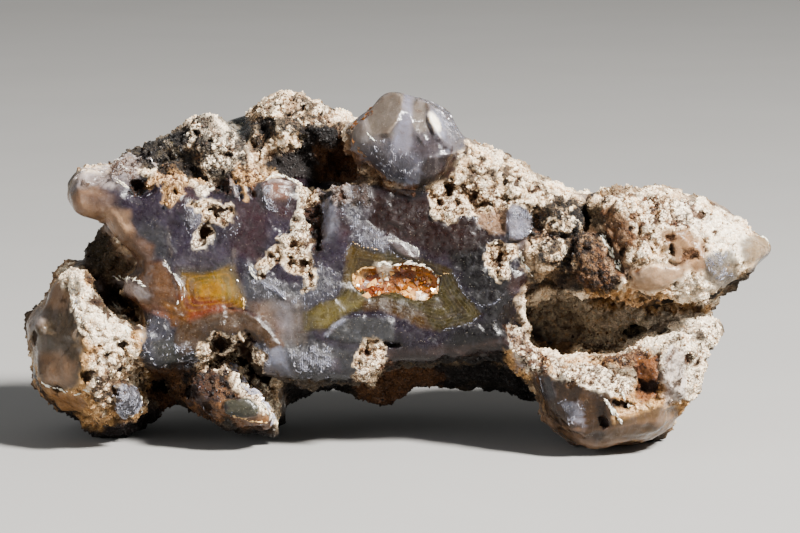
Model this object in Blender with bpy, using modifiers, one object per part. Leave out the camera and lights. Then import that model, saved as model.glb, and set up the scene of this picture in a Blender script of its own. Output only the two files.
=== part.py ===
"""A rough hand specimen of moss agate: chalcedony and rock grown together in one craggy stone.

The stone is drawn as its front is seen, by an eye a little above it. In that front view x runs
to the right, v up and w towards the eye, all in millimetres, with x = 0 in the stone's middle
and v = 0 at its lowest foot. Each chunk of the stone is an outline there, blown up to its
thickness at its own depth. The chunks grow into one body, hollows sink into it, and the body is
tipped back by the view's angle, so that it stands on its feet with +Z up and its front at -Y.
What lies nearer the eye looks larger, so the nearer parts are drawn in towards the middle.
"""

import math

import bmesh
import bpy
import numpy as np
from mathutils import Matrix, noise

MM = 0.001
NAME = "moss_agate"
VIEW_ANGLE = math.radians(8.0)
STONE_LENGTH = 105.0
DRAWN_LENGTH = 105.8
SCALE = STONE_LENGTH / DRAWN_LENGTH
EYE_DISTANCE = 622.0
EYE_LEVEL = 25.3

CHUNK_VOXEL = 1.1
UNION_VOXEL = 0.75
CURVE_STEPS = 5
RIM_SHARE = 0.3
REGAIN = 0.25
MOST_TRIANGLES = 9600
GROUND = 0.84

# The front view's outlines, in millimetres.
SLAB = [
    (-46.7, 34.2), (-46.0, 37.4), (-45.2, 38.5), (-42.2, 39.1), (-40.1, 40.0), (-36.6, 40.5),
    (-33.1, 38.8), (-30.5, 37.5), (-26.4, 37.2), (-23.7, 38.5), (-20.5, 38.8), (-17.0, 37.9),
    (-14.2, 36.3), (-11.7, 36.0), (-7.9, 37.1), (-3.7, 37.4), (1.5, 36.1), (5.4, 36.4),
    (8.9, 35.3), (15.2, 33.2), (18.0, 32.8), (18.3, 30.9), (15.2, 28.6), (16.9, 26.5),
    (18.0, 24.1), (15.9, 20.6), (16.6, 18.1), (17.7, 15.5), (14.9, 13.6), (11.0, 13.3),
    (6.8, 13.0), (3.3, 12.2), (-2.3, 12.0), (-4.4, 10.5), (-6.2, 9.2), (-8.6, 9.8),
    (-11.4, 9.1), (-14.2, 9.4), (-18.4, 10.5), (-20.4, 11.3), (-21.2, 14.3), (-23.3, 14.3),
    (-26.1, 13.6), (-28.9, 11.9), (-33.1, 11.1), (-35.5, 11.1), (-36.9, 13.0), (-35.8, 15.7),
    (-36.3, 19.9), (-38.3, 21.1), (-39.7, 22.7), (-39.1, 23.9), (-37.0, 23.4), (-37.3, 25.9),
    (-39.7, 28.6), (-40.8, 30.4), (-41.8, 32.2), (-43.9, 31.9), (-46.0, 32.9),
]
MATRIX = [
    (-41.8, 37.4), (-40.1, 39.8), (-36.6, 41.3), (-31.0, 42.7), (-22.6, 41.9), (-14.2, 43.3),
    (-7.2, 43.7), (-0.2, 41.6), (6.8, 41.6), (13.8, 39.5), (20.8, 36.3), (27.8, 34.9),
    (34.8, 34.9), (41.8, 32.1), (43.5, 27.6), (43.5, 22.0), (42.1, 15.0), (39.7, 10.1),
    (35.5, 6.6), (27.8, 5.2), (22.2, 5.9), (18.0, 7.8), (13.8, 8.7), (8.2, 9.2), (2.6, 9.0),
    (-0.6, 8.0), (-2.3, 6.7), (-4.4, 6.0), (-6.1, 6.7), (-8.6, 8.4), (-12.1, 8.4),
    (-15.6, 7.8), (-17.7, 6.3), (-23.3, 5.9), (-28.2, 6.3), (-32.4, 6.6), (-35.2, 6.0),
    (-40.8, 5.5), (-45.7, 8.0), (-47.5, 13.6), (-46.4, 20.6), (-44.2, 26.5), (-42.6, 29.0),
    (-41.5, 30.9), (-42.5, 34.6),
]
LEFT_BLOCK = [
    (-46.8, 25.1), (-45.7, 25.5), (-44.6, 24.8), (-44.0, 22.3), (-42.6, 20.2), (-39.4, 18.1),
    (-37.9, 16.4), (-36.1, 15.3), (-36.5, 12.6), (-38.4, 9.8), (-37.3, 8.3), (-36.2, 6.3),
    (-37.2, 4.9), (-39.4, 4.1), (-42.2, 4.3), (-46.1, 5.5), (-49.8, 7.4), (-51.2, 9.7),
    (-51.7, 12.2), (-50.6, 13.0), (-52.2, 15.3), (-52.7, 17.1), (-52.2, 18.3), (-49.8, 19.6),
    (-48.7, 22.0),
]
LEFT_FOOT = [
    (-47.8, 8.7), (-45.7, 9.7), (-40.8, 9.1), (-35.9, 8.0), (-33.4, 6.9), (-35.2, 5.7),
    (-36.2, 4.2), (-39.0, 2.6), (-41.0, 1.7), (-43.0, 1.7), (-44.6, 3.0), (-47.8, 5.9),
    (-49.5, 7.3),
]
MIDDLE_FOOT = [
    (-33.1, 10.2), (-30.7, 11.5), (-27.5, 11.6), (-24.3, 10.8), (-22.2, 9.4), (-19.5, 7.7),
    (-18.4, 5.9), (-17.4, 4.1), (-18.4, 2.5), (-21.5, 2.4), (-25.1, 3.4), (-28.9, 4.9),
    (-31.0, 6.3), (-32.1, 8.4),
]
MIDDLE_BACK = [
    (-25.4, 10.1), (-19.5, 9.7), (-17.0, 9.0), (-16.6, 6.9), (-16.9, 4.6), (-17.6, 3.1),
    (-19.5, 2.2), (-23.3, 3.1), (-26.8, 5.2),
]
LEDGE = [
    (-42.4, 37.9), (-40.8, 39.8), (-38.7, 40.9), (-37.0, 41.7), (-34.9, 42.6), (-33.4, 41.6),
    (-33.1, 39.9), (-34.5, 38.4), (-38.7, 37.9),
]
DARK_LUMP = [
    (-34.9, 39.6), (-35.2, 41.3), (-34.2, 43.0), (-32.7, 43.4), (-32.0, 44.4), (-30.6, 44.9),
    (-29.3, 44.1), (-28.5, 41.6), (-29.3, 39.3), (-32.1, 38.6),
]
LEFT_LUMP = [
    (-30.0, 42.7), (-30.0, 45.1), (-29.3, 45.9), (-27.4, 46.3), (-25.8, 45.8), (-24.0, 44.2),
    (-21.8, 42.0), (-22.2, 40.2), (-24.0, 38.1), (-26.3, 38.2), (-28.6, 40.0),
]
RIGHT_LUMP = [
    (-21.5, 41.6), (-21.5, 43.3), (-20.8, 46.5), (-20.0, 48.3), (-18.1, 49.1), (-15.6, 49.3),
    (-13.8, 48.6), (-10.0, 46.9), (-7.2, 45.4), (-6.8, 43.0), (-7.2, 40.2), (-7.9, 37.1),
    (-11.4, 36.5), (-14.9, 37.4), (-18.1, 39.1), (-20.4, 40.2),
]
GREEN_KNOB = [
    (-25.1, 45.2), (-24.2, 46.2), (-22.6, 46.5), (-21.2, 46.1), (-20.4, 44.4), (-21.2, 42.7),
    (-23.2, 42.7), (-24.6, 43.8),
]
CLEAR_KNOB = [
    (-7.2, 42.1), (-7.2, 44.4), (-6.5, 45.6), (-3.6, 47.5), (-3.0, 48.9), (-1.5, 50.0),
    (0.6, 49.7), (3.2, 48.6), (5.4, 47.2), (6.2, 47.2), (7.4, 45.4), (8.3, 43.1),
    (7.9, 40.5), (6.2, 38.1), (4.0, 36.5), (1.8, 36.5), (-0.2, 37.4), (-1.9, 37.5),
    (-3.7, 39.3), (-5.8, 41.2),
]
CRUST_RIDGE = [
    (7.2, 41.9), (8.5, 43.1), (11.0, 41.7), (12.4, 40.9), (13.8, 40.7), (16.6, 39.3),
    (20.4, 37.9), (23.2, 36.0), (25.7, 35.0), (26.0, 32.8), (24.7, 29.7), (23.2, 27.9),
    (22.8, 25.3), (20.5, 24.9), (18.4, 24.6), (17.0, 26.5), (17.2, 28.3), (18.6, 31.2),
    (16.6, 34.2), (12.4, 35.1), (8.2, 35.1), (6.2, 36.5), (7.5, 38.8),
]
NODULE = [
    (23.2, 25.9), (23.5, 28.0), (25.0, 30.2), (26.4, 30.8), (27.7, 30.1), (28.9, 27.6),
    (30.5, 25.1), (29.2, 23.4), (26.4, 22.8), (24.3, 23.4),
]
WEDGE = [
    (26.1, 33.9), (27.8, 35.8), (31.3, 36.7), (34.1, 37.0), (36.9, 36.0), (40.4, 35.0),
    (43.9, 34.2), (46.7, 32.1), (50.5, 29.8), (52.4, 28.6), (52.4, 27.7), (49.1, 25.1),
    (47.1, 23.8), (44.9, 21.8), (41.8, 21.0), (39.0, 21.0), (35.5, 20.7), (32.0, 20.9),
    (27.8, 21.8), (25.0, 23.2), (26.1, 24.8), (29.5, 23.8), (30.0, 25.9), (28.2, 29.3),
    (26.7, 31.5),
]
LOWER_LUMP = [
    (14.6, 13.6), (15.5, 15.8), (17.2, 14.7), (20.1, 13.0), (24.3, 12.6), (28.5, 12.6),
    (32.0, 13.3), (35.1, 14.7), (39.0, 16.4), (43.8, 18.1), (44.0, 16.4), (42.2, 12.9),
    (41.8, 9.1), (40.4, 6.4), (38.2, 5.3), (38.6, 3.2), (36.9, 1.9), (33.7, 1.1),
    (32.0, 0.5), (28.5, 0.5), (24.3, 1.2), (21.9, 2.6), (20.1, 5.5), (19.1, 8.0),
    (17.3, 10.8),
]
BACK_BLOCK = [
    (24.7, 35.1), (26.4, 36.4), (30.6, 35.7), (36.9, 35.1), (43.8, 34.2), (45.0, 34.6),
    (45.9, 33.5), (45.8, 29.0), (44.8, 22.0), (43.6, 18.1), (41.8, 13.3), (40.4, 7.7),
    (38.8, 5.9), (38.4, 3.9), (36.9, 3.2), (33.4, 3.0), (27.8, 3.8), (22.9, 5.5),
    (20.8, 7.3), (22.2, 20.6),
]


LEFT_CREST = [
    (-45.7, 25.3), (-44.9, 24.5), (-44.5, 22.3), (-44.0, 20.6), (-42.6, 19.3), (-40.5, 17.9),
    (-38.3, 16.5), (-35.8, 15.3), (-36.6, 13.6), (-39.4, 13.9), (-42.2, 14.3), (-44.5, 15.3),
    (-45.9, 17.5), (-46.8, 19.9), (-47.5, 22.3), (-47.0, 24.4),
]
LEFT_CHIP = [
    (-39.7, 9.0), (-37.6, 8.8), (-36.3, 6.6), (-36.6, 5.2), (-38.1, 4.3), (-39.6, 4.9),
    (-40.4, 7.0),
]
LEFT_SHOULDER = [
    (-36.5, 36.5), (-36.5, 39.0), (-32.0, 40.6), (-27.0, 40.8), (-22.0, 42.0), (-18.5, 40.5),
    (-18.5, 36.0),
]
KNOB_SEAT = [
    (-5.5, 33.5), (-6.2, 37.4), (-4.6, 39.6), (0.5, 39.4), (5.0, 39.5), (9.5, 39.0),
    (12.5, 36.8), (12.5, 33.5),
]
WEDGE_ROOT = [
    (25.4, 33.6), (28.6, 35.4), (33.0, 33.0), (33.0, 26.0), (30.0, 23.6), (26.0, 24.5),
    (24.8, 29.0),
]
RIGHT_STACK = [
    (36.2, 16.2), (41.3, 17.9), (43.2, 17.3), (42.6, 13.6), (41.2, 10.8), (40.8, 7.3),
    (38.6, 6.0), (36.6, 7.0), (35.3, 10.8), (35.3, 14.0),
]
MOUND = [
    (-31.6, 11.5), (-30.5, 15.6), (-26.5, 18.2), (-21.5, 18.6), (-18.0, 16.2), (-16.3, 13.0),
    (-15.6, 10.2), (-20.0, 11.4), (-24.0, 13.6), (-28.5, 12.0),
]


def oval(x, v, radius_x, radius_v, lobes=5, bulge=0.08, points=18):
    """A rounded lump's outline, an ellipse with low lobes."""
    turns = [2 * math.pi * step / points for step in range(points)]
    return [
        (
            x + radius_x * math.cos(turn) * (1 + bulge * math.sin(lobes * turn)),
            v + radius_v * math.sin(turn) * (1 + bulge * math.sin(lobes * turn)),
        )
        for turn in turns
    ]


# Each chunk: outline, depth of its middle towards the eye, thickness, how far the front and the
# back round off from the outline, and how much nearer it comes per millimetre of x and of v.
CHUNKS = {
    "slab": (SLAB, 5.5, 11.0, 1.8, 4.0, 0.00, -0.06),
    "mound": (MOUND, 8.5, 8.0, 4.0, 3.0, 0.00, 0.00),
    "matrix": (MATRIX, -8.5, 21.0, 7.0, 13.0, 0.00, 0.00),
    "left_block": (LEFT_BLOCK, 1.0, 25.0, 7.0, 10.0, 0.12, -0.10),
    "left_crest": (LEFT_CREST, 6.5, 17.0, 3.0, 6.0, 0.15, 0.00),
    "left_chip": (LEFT_CHIP, 7.0, 9.0, 2.0, 4.0, 0.00, 0.00),
    "left_foot": (LEFT_FOOT, -7.0, 21.0, 5.0, 6.0, 0.00, 0.00),
    "middle_foot": (MIDDLE_FOOT, 3.5, 17.0, 4.0, 5.0, 0.00, 0.00),
    "middle_back": (MIDDLE_BACK, -6.0, 17.0, 4.0, 5.0, 0.00, 0.00),
    "ledge": (LEDGE, -1.5, 13.0, 2.5, 4.0, 0.00, 0.00),
    "left_shoulder": (LEFT_SHOULDER, 2.0, 13.0, 4.0, 4.0, 0.00, -0.30),
    "dark_lump": (DARK_LUMP, -2.0, 15.0, 4.0, 5.0, 0.00, 0.00),
    "left_lump": (LEFT_LUMP, 0.5, 17.0, 5.0, 6.0, 0.00, 0.00),
    "right_lump": (RIGHT_LUMP, -3.5, 23.0, 7.0, 8.0, -0.30, -0.10),
    "green_knob": (GREEN_KNOB, -8.0, 10.0, 3.0, 3.0, 0.00, 0.00),
    "clear_knob": (CLEAR_KNOB, 5.5, 15.0, 3.0, 6.0, 0.10, -0.15),
    "knob_seat": (KNOB_SEAT, 3.5, 13.0, 4.0, 4.0, 0.00, -0.20),
    "crust_ridge": (CRUST_RIDGE, 1.5, 20.0, 8.0, 8.0, -0.15, -0.20),
    "ridge_lump_top": (oval(10.2, 38.4, 3.6, 3.3), 5.5, 14.0, 5.0, 5.0, 0.00, 0.00),
    "ridge_lump_middle": (oval(16.6, 35.4, 4.2, 2.9), 5.0, 15.0, 5.0, 5.0, 0.00, 0.00),
    "ridge_lump_right": (oval(22.2, 31.4, 3.2, 4.3), 4.5, 15.0, 5.0, 5.0, 0.00, 0.00),
    "ridge_lump_low": (oval(20.6, 27.2, 2.8, 2.6), 6.5, 12.0, 4.0, 4.0, 0.00, 0.00),
    "nodule": (NODULE, 6.0, 14.0, 4.0, 4.0, 0.00, 0.00),
    "wedge": (WEDGE, 3.0, 22.0, 7.0, 8.0, -0.12, -0.15),
    "wedge_root": (WEDGE_ROOT, 3.5, 15.0, 3.0, 5.0, 0.00, 0.00),
    "lower_lump": (LOWER_LUMP, 5.5, 26.0, 9.0, 11.0, -0.10, 0.12),
    "right_stack": (RIGHT_STACK, 2.5, 16.0, 4.0, 5.0, 0.00, 0.00),
    "back_block": (BACK_BLOCK, -13.0, 18.0, 8.0, 8.0, 0.00, 0.00),
    "back_left": (oval(-27.5, 24.0, 14.5, 14.0), -14.5, 15.0, 9.0, 10.0, 0.00, 0.00),
    "back_middle": (oval(0.0, 26.0, 17.0, 14.0, 7), -16.0, 15.0, 9.0, 11.0, 0.00, 0.20),
    "back_top": (oval(-12.0, 37.0, 11.0, 6.5, 3), -12.5, 14.0, 6.0, 6.5, 0.00, 0.30),
    "back_shelf": (oval(9.0, 17.0, 13.0, 5.5, 3), -14.0, 16.0, 5.5, 5.5, 0.00, 0.00),
    "back_heel": (oval(-38.0, 10.0, 9.0, 5.2, 3), -9.5, 15.0, 5.0, 5.5, 0.00, 0.00),
}

# Each hollow seen from the front: x, v, its two radii, the turn of the first in degrees, depth.
HOLLOWS = {
    "arm_groove": (-42.6, 38.0, 2.4, 0.8, 30, 2.5),
    "slab_top_pit": (-36.7, 36.5, 2.0, 1.0, 0, 3.0),
    "shaded_gap": (-26.4, 36.6, 1.7, 0.9, 40, 3.0),
    "under_left_lump": (-29.2, 38.4, 2.4, 0.8, -15, 3.0),
    "crust_pit": (-27.7, 29.9, 0.9, 1.7, 10, 2.0),
    "channel": (-11.9, 32.5, 1.2, 4.6, -5, 3.0),
    "front_cavity": (-21.8, 12.6, 1.8, 3.2, 8, 7.5),
    "front_cavity_left": (-26.1, 14.3, 2.0, 1.1, 0, 4.5),
    "front_cavity_low": (-20.0, 9.7, 1.6, 1.2, 0, 4.0),
    "under_slab": (-31.5, 10.4, 3.4, 1.7, 10, 4.5),
    "between_feet": (-33.8, 8.7, 3.0, 1.8, 0, 7.0),
    "notch_hollow": (-39.0, 20.5, 2.6, 1.6, -35, 4.5),
    "druse_vug": (-1.0, 23.4, 6.0, 1.7, -5, 2.4),
    "low_pit": (-1.6, 14.0, 1.6, 0.8, 20, 2.2),
    "right_pit": (13.7, 26.4, 1.0, 1.6, -10, 3.0),
    "green_hollow": (26.7, 32.4, 1.6, 1.5, 20, 6.0),
    "under_ridge": (20.6, 23.6, 3.0, 0.9, -22, 4.0),
    "great_hollow": (27.5, 18.0, 12.0, 4.2, 3, 9.0),
    "great_hollow_left": (20.0, 17.0, 5.0, 3.6, 0, 4.0),
    "slot": (34.3, 16.2, 4.2, 1.4, 28, 5.0),
    "brown_pit": (33.4, 8.8, 1.6, 2.4, 0, 3.0),
    "low_right_pit": (30.8, 6.2, 1.4, 1.0, 0, 2.0),
    "lump_pocket": (-11.5, 40.6, 4.4, 3.0, -12, 4.0),
    "wedge_groove": (29.3, 27.8, 0.9, 3.6, 25, 2.0),
}
# A hollow's floor ends where its ellipse is this much larger, and its walls are this steep.
HOLLOW_REACH = 1.35
HOLLOW_STEEPNESS = 1.6
FACING_STEEPNESS = 2.0

# Bare chalcedony is smoother than the rock. Each patch: outline and the depth its front lies above.
BARE = {"slab": (SLAB, 5.0), "clear_knob": (CLEAR_KNOB, 4.0), "lower_lump": (LOWER_LUMP, 8.0)}
BARE_FADE = 2.0
BARE_ROUGHNESS = 0.3

# The rock's relief: size of its swells, height, and seed.
SWELLS = [(11.0, 1.1, 3), (5.0, 0.9, 11), (2.4, 0.45, 23)]
# The back is craggier: size and height of its ridges, and the depth over which they set in.
CRAG_SIZE = 13.0
CRAG_HEIGHT = 2.4
CRAG_MEAN = 0.8
CRAG_DEPTHS = (-7.0, -13.0)
SEED_STEP = 17.0


def smooth_loop(points):
    """A closed Catmull-Rom curve through the points, in millimetres."""
    corners = np.array(points, float)
    before, after = np.roll(corners, 1, axis=0), np.roll(corners, -1, axis=0)
    beyond = np.roll(corners, -2, axis=0)
    rows = []
    for step in range(CURVE_STEPS):
        t = step / CURVE_STEPS
        rows.append(
            0.5
            * (
                2 * corners
                + (after - before) * t
                + (2 * before - 5 * corners + 4 * after - beyond) * t**2
                + (3 * corners - before - 3 * after + beyond) * t**3
            )
        )
    return np.stack(rows, axis=1).reshape(-1, 2) * SCALE


def distance_inside(places, loop):
    """How far each (x, v) lies inside the loop, negative outside it."""
    starts, ends = loop, np.roll(loop, -1, axis=0)
    runs = ends - starts
    nearest = np.full(len(places), np.inf)
    inside = np.zeros(len(places), bool)
    for start, end, run in zip(starts, ends, runs):
        along = np.clip((places - start) @ run / max(run @ run, 1e-12), 0, 1)
        gap = places - start - along[:, None] * run
        nearest = np.minimum(nearest, np.hypot(gap[:, 0], gap[:, 1]))
        if start[1] != end[1]:
            spans = (start[1] > places[:, 1]) != (end[1] > places[:, 1])
            crossing = start[0] + (places[:, 1] - start[1]) * run[0] / run[1]
            inside ^= spans & (places[:, 0] < crossing)
    return np.where(inside, nearest, -nearest)


def points_of(mesh):
    """The mesh's points as rows of (x, y, z), in millimetres."""
    flat = np.empty(len(mesh.vertices) * 3)
    mesh.vertices.foreach_get("co", flat)
    return flat.reshape(-1, 3) / MM


def as_seen(points):
    """Where the eye sees the points, as rows of (x, v)."""
    nearness = 1 + points[:, 1] / EYE_DISTANCE
    level = EYE_LEVEL + (points[:, 2] - EYE_LEVEL) / nearness
    return np.stack([points[:, 0] / nearness, level], axis=1)


def move_points(mesh, points):
    mesh.vertices.foreach_set("co", (points * MM).ravel())
    mesh.update()


def normals_of(mesh):
    flat = np.empty(len(mesh.vertices) * 3, np.float32)
    mesh.vertices.foreach_get("normal", flat)
    return flat.reshape(-1, 3).astype(float)


def link(name, data):
    part = bpy.data.objects.new(name, data)
    bpy.context.scene.collection.objects.link(part)
    return part


def apply_modifiers(part):
    """Replaces the object by a mesh object of what its modifiers make of it."""
    graph = bpy.context.evaluated_depsgraph_get()
    made = bpy.data.meshes.new_from_object(part.evaluated_get(graph))
    name, matrix = part.name, part.matrix_world.copy()
    bpy.data.objects.remove(part)
    solid = link(name, made)
    solid.matrix_world = matrix
    return solid


def remesh(part, voxel):
    modifier = part.modifiers.new("remesh", "REMESH")
    modifier.mode = "VOXEL"
    modifier.voxel_size = voxel * MM
    return apply_modifiers(part)


def smooth(part, factor, repeats):
    modifier = part.modifiers.new("smooth", "SMOOTH")
    modifier.factor = factor
    modifier.iterations = repeats
    return apply_modifiers(part)


def flat_chunk(name, loop, thickness):
    """The outline as a flat plate, standing in the plane of the front view."""
    outline = bpy.data.curves.new(name, "CURVE")
    outline.dimensions = "2D"
    outline.fill_mode = "BOTH"
    outline.extrude = thickness / 2 * MM
    spline = outline.splines.new("POLY")
    spline.points.add(len(loop) - 1)
    for point, (x, v) in zip(spline.points, loop):
        point.co = (x * MM, v * MM, 0, 1)
    spline.use_cyclic_u = True
    plate = apply_modifiers(link(name, outline))
    plate.data.transform(Matrix.Rotation(math.pi / 2, 4, "X"))
    return remesh(plate, CHUNK_VOXEL)


def chunk(name, outline, middle, thickness, front_edge, back_edge, per_x, per_v):
    """A lump of the stone: its plate blown up, with the rims rounded off front and back."""
    loop = smooth_loop(outline)
    lump = flat_chunk(name, loop, thickness)
    points = points_of(lump.data)
    side = points[:, 1] / (thickness / 2)
    inside = np.maximum(distance_inside(points[:, [0, 2]], loop), 0)
    reach = np.clip(inside / np.where(side < 0, front_edge, back_edge), 0, 1)
    rounding = RIM_SHARE + (1 - RIM_SHARE) * np.sqrt(reach * (2 - reach))
    centre = loop.mean(axis=0)
    lean = per_x * (points[:, 0] - centre[0]) + per_v * (points[:, 2] - centre[1])
    points[:, 1] = side * rounding * thickness / 2 - middle - lean
    nearness = 1 + points[:, 1] / EYE_DISTANCE
    points[:, 0] *= nearness
    points[:, 2] = EYE_LEVEL + (points[:, 2] - EYE_LEVEL) * nearness
    move_points(lump.data, points)
    return lump


def grown_together(lumps):
    """One body of all the lumps."""
    whole = bmesh.new()
    for lump in lumps:
        whole.from_mesh(lump.data)
        bpy.data.objects.remove(lump)
    mesh = bpy.data.meshes.new(NAME)
    whole.to_mesh(mesh)
    whole.free()
    return smooth(remesh(link(NAME, mesh), UNION_VOXEL), 0.5, 3)


def sink_hollows(stone):
    """Pushes the front back inside each hollow's ellipse."""
    points, facing = points_of(stone.data), -normals_of(stone.data)[:, 1]
    seen = as_seen(points)
    pushed = np.zeros(len(points))
    for x, v, radius_x, radius_v, turn, depth in HOLLOWS.values():
        across = seen - np.array([x, v]) * SCALE
        cosine, sine = math.cos(math.radians(turn)), math.sin(math.radians(turn))
        along = (across[:, 0] * cosine + across[:, 1] * sine) / radius_x
        over = (across[:, 1] * cosine - across[:, 0] * sine) / radius_v
        bowl = np.clip(HOLLOW_STEEPNESS * (HOLLOW_REACH - along**2 - over**2), 0, 1)
        pushed += depth * bowl * np.clip(FACING_STEEPNESS * facing, 0, 1)
    points[:, 1] += pushed
    move_points(stone.data, points)
    return remesh(smooth(stone, 0.5, 1), UNION_VOXEL)


def bareness(points, normals):
    """1 on bare chalcedony, 0 on rough rock."""
    bare = np.zeros(len(points))
    seen, facing = as_seen(points), -normals[:, 1]
    for outline, front in BARE.values():
        inside = distance_inside(seen, smooth_loop(outline))
        patch = np.clip(inside / BARE_FADE, 0, 1) * np.clip(-points[:, 1] - front, 0, 1)
        bare = np.maximum(bare, patch * np.clip(FACING_STEEPNESS * facing, 0, 1))
    return bare


def roughen(stone):
    """Swells and pits all over the rock, faint ones on the bare chalcedony, crags behind."""
    points, normals = points_of(stone.data), normals_of(stone.data)
    relief = np.zeros(len(points))
    for size, height, seed in SWELLS:
        shift = np.full(3, SEED_STEP * seed)
        relief += height * np.array([noise.noise(p) for p in points / size + shift])
    ridges = np.array([1 - 2 * abs(noise.noise(p)) for p in points / CRAG_SIZE])
    near, far = CRAG_DEPTHS
    relief += CRAG_HEIGHT * (ridges - CRAG_MEAN) * np.clip((near + points[:, 1]) / (near - far), 0, 1)
    rough = 1 - (1 - BARE_ROUGHNESS) * bareness(points, normals)
    move_points(stone.data, points + normals * (relief * rough + REGAIN)[:, None])
    return remesh(stone, UNION_VOXEL)


def reduce(stone):
    """Keeps the faces that the form needs."""
    stone.data.calc_loop_triangles()
    modifier = stone.modifiers.new("reduce", "DECIMATE")
    modifier.ratio = MOST_TRIANGLES / len(stone.data.loop_triangles)
    modifier.use_collapse_triangulate = True
    return apply_modifiers(stone)


def stand_on_feet(stone):
    """Tips the stone back, cuts small flats under its feet and centres it on its base."""
    stone.data.transform(Matrix.Rotation(-VIEW_ANGLE, 4, "X"))
    whole = bmesh.new()
    whole.from_mesh(stone.data)
    everything = whole.verts[:] + whole.edges[:] + whole.faces[:]
    ground = (0, 0, GROUND * MM)
    cut = bmesh.ops.bisect_plane(
        whole, geom=everything, plane_co=ground, plane_no=(0, 0, 1), clear_inner=True
    )
    rim = [item for item in cut["geom_cut"] if isinstance(item, bmesh.types.BMEdge)]
    flats = bmesh.ops.holes_fill(whole, edges=rim)["faces"]
    bmesh.ops.triangulate(whole, faces=flats)
    whole.to_mesh(stone.data)
    whole.free()
    points = points_of(stone.data)
    low, high = points.min(axis=0), points.max(axis=0)
    points -= [(low[0] + high[0]) / 2, (low[1] + high[1]) / 2, low[2]]
    move_points(stone.data, points)


def chalcedony():
    """Greyish translucent stone with a waxy shine."""
    finish = bpy.data.materials.new("chalcedony_and_rock")
    finish.use_nodes = True
    shader = finish.node_tree.nodes["Principled BSDF"]
    shader.inputs["Base Color"].default_value = (0.42, 0.38, 0.36, 1)
    shader.inputs["Roughness"].default_value = 0.55
    shader.inputs["Metallic"].default_value = 0.0
    return finish


def main():
    for thing in list(bpy.data.objects):
        bpy.data.objects.remove(thing)
    stone = grown_together([chunk(name, *form) for name, form in CHUNKS.items()])
    stone = reduce(roughen(sink_hollows(stone)))
    stand_on_feet(stone)
    stone.data.materials.clear()
    stone.data.materials.append(chalcedony())
    specimen = bpy.data.collections.new("moss_agate_specimen")
    bpy.context.scene.collection.children.link(specimen)
    bpy.context.scene.collection.objects.unlink(stone)
    specimen.objects.link(stone)


main()
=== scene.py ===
"""The looks of a rough moss agate, round its packed stone.

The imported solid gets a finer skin: smooth chalcedony, crumbly crust with pits and lumps, steps,
ridges and broken faces. The skin is tinted point by point, and small grains are strewn on it.

What belongs to the stone's front is placed by where it shows in the photograph, in pixels across
and down. It lies on the stone wherever that line of sight first meets it, so it stays there from
every other side. What no line of sight reaches is rock and crust of the same kinds.
"""

import math
from collections import namedtuple

import bpy
import numpy as np
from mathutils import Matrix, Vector, kdtree, noise


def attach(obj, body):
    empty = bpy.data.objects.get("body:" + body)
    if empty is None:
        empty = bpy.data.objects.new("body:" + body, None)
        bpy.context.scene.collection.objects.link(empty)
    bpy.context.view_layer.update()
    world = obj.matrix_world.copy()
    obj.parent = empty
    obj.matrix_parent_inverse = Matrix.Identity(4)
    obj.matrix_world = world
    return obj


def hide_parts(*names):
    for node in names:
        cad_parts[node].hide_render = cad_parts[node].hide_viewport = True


MM = 0.001
NODE = "moss_agate"

# The photograph's view: an eye a little above the stone, and the size of a pixel at its middle.
PIXEL = 0.14
PHOTO_MIDDLE = 401.5
PHOTO_GROUND = 447.0
VIEW_ANGLE = math.radians(8.0)
EYE_DISTANCE = 622.0
EYE_LEVEL = 25.3
DRAWN_SHIFT = (-0.425, 5.558, 0.84)
CAMERA_AIM = (0.2, -2.0, 24.2)
CAMERA_LENS = 200
CAMERA_SENSOR = 36

# The skin, in millimetres, and how much coarser it is where it doesn't show.
SKIN_VOXEL = 0.29
SKIN_SMOOTHING = 14
MOST_TRIANGLES = 194000
HIDDEN_STEPS = 10
HIDDEN_COARSENESS = 0.45

# What is in sight: the pixels that hide what is behind them, how far behind it begins and is fully
# hidden in millimetres, how often that is blurred, and from what share on a point counts.
SIGHT_CELL = 3.0
SIGHT_DEPTH = (0.9, 2.6)
SIGHT_BLUR = 3
BARELY_SEEN = 0.01
WELL_SEEN = 0.7

# How edges stray: pixels, sizes of the noise in millimetres and the share of the finer one. Lines
# and holes stray by shares of that. Their rims are shares of their size, and those of holes are
# ragged besides. A line breaks off where the noise is low, down to the least of its strength.
STRAY_PIXELS = 6.0
STRAY_SIZES = (2.6, 0.9)
FINE_STRAY = 0.6
OUTLINE_MARGIN = 6
LINE_MARGIN = 4
LINE_STRAY = 0.25
LINE_RIM = (0.8, 0.2)
LINE_BREAKS = (-0.35, 0.15)
LINE_LEAST = 0.3
HOLE_STRAY = 0.5
HOLE_RIM = (1.2, 0.6)
HOLE_REACH = 1.5
HOLE_STRENGTH = 0.9
RAGGEDNESS = 0.6
RAGGED_SIZE = 0.5

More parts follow.
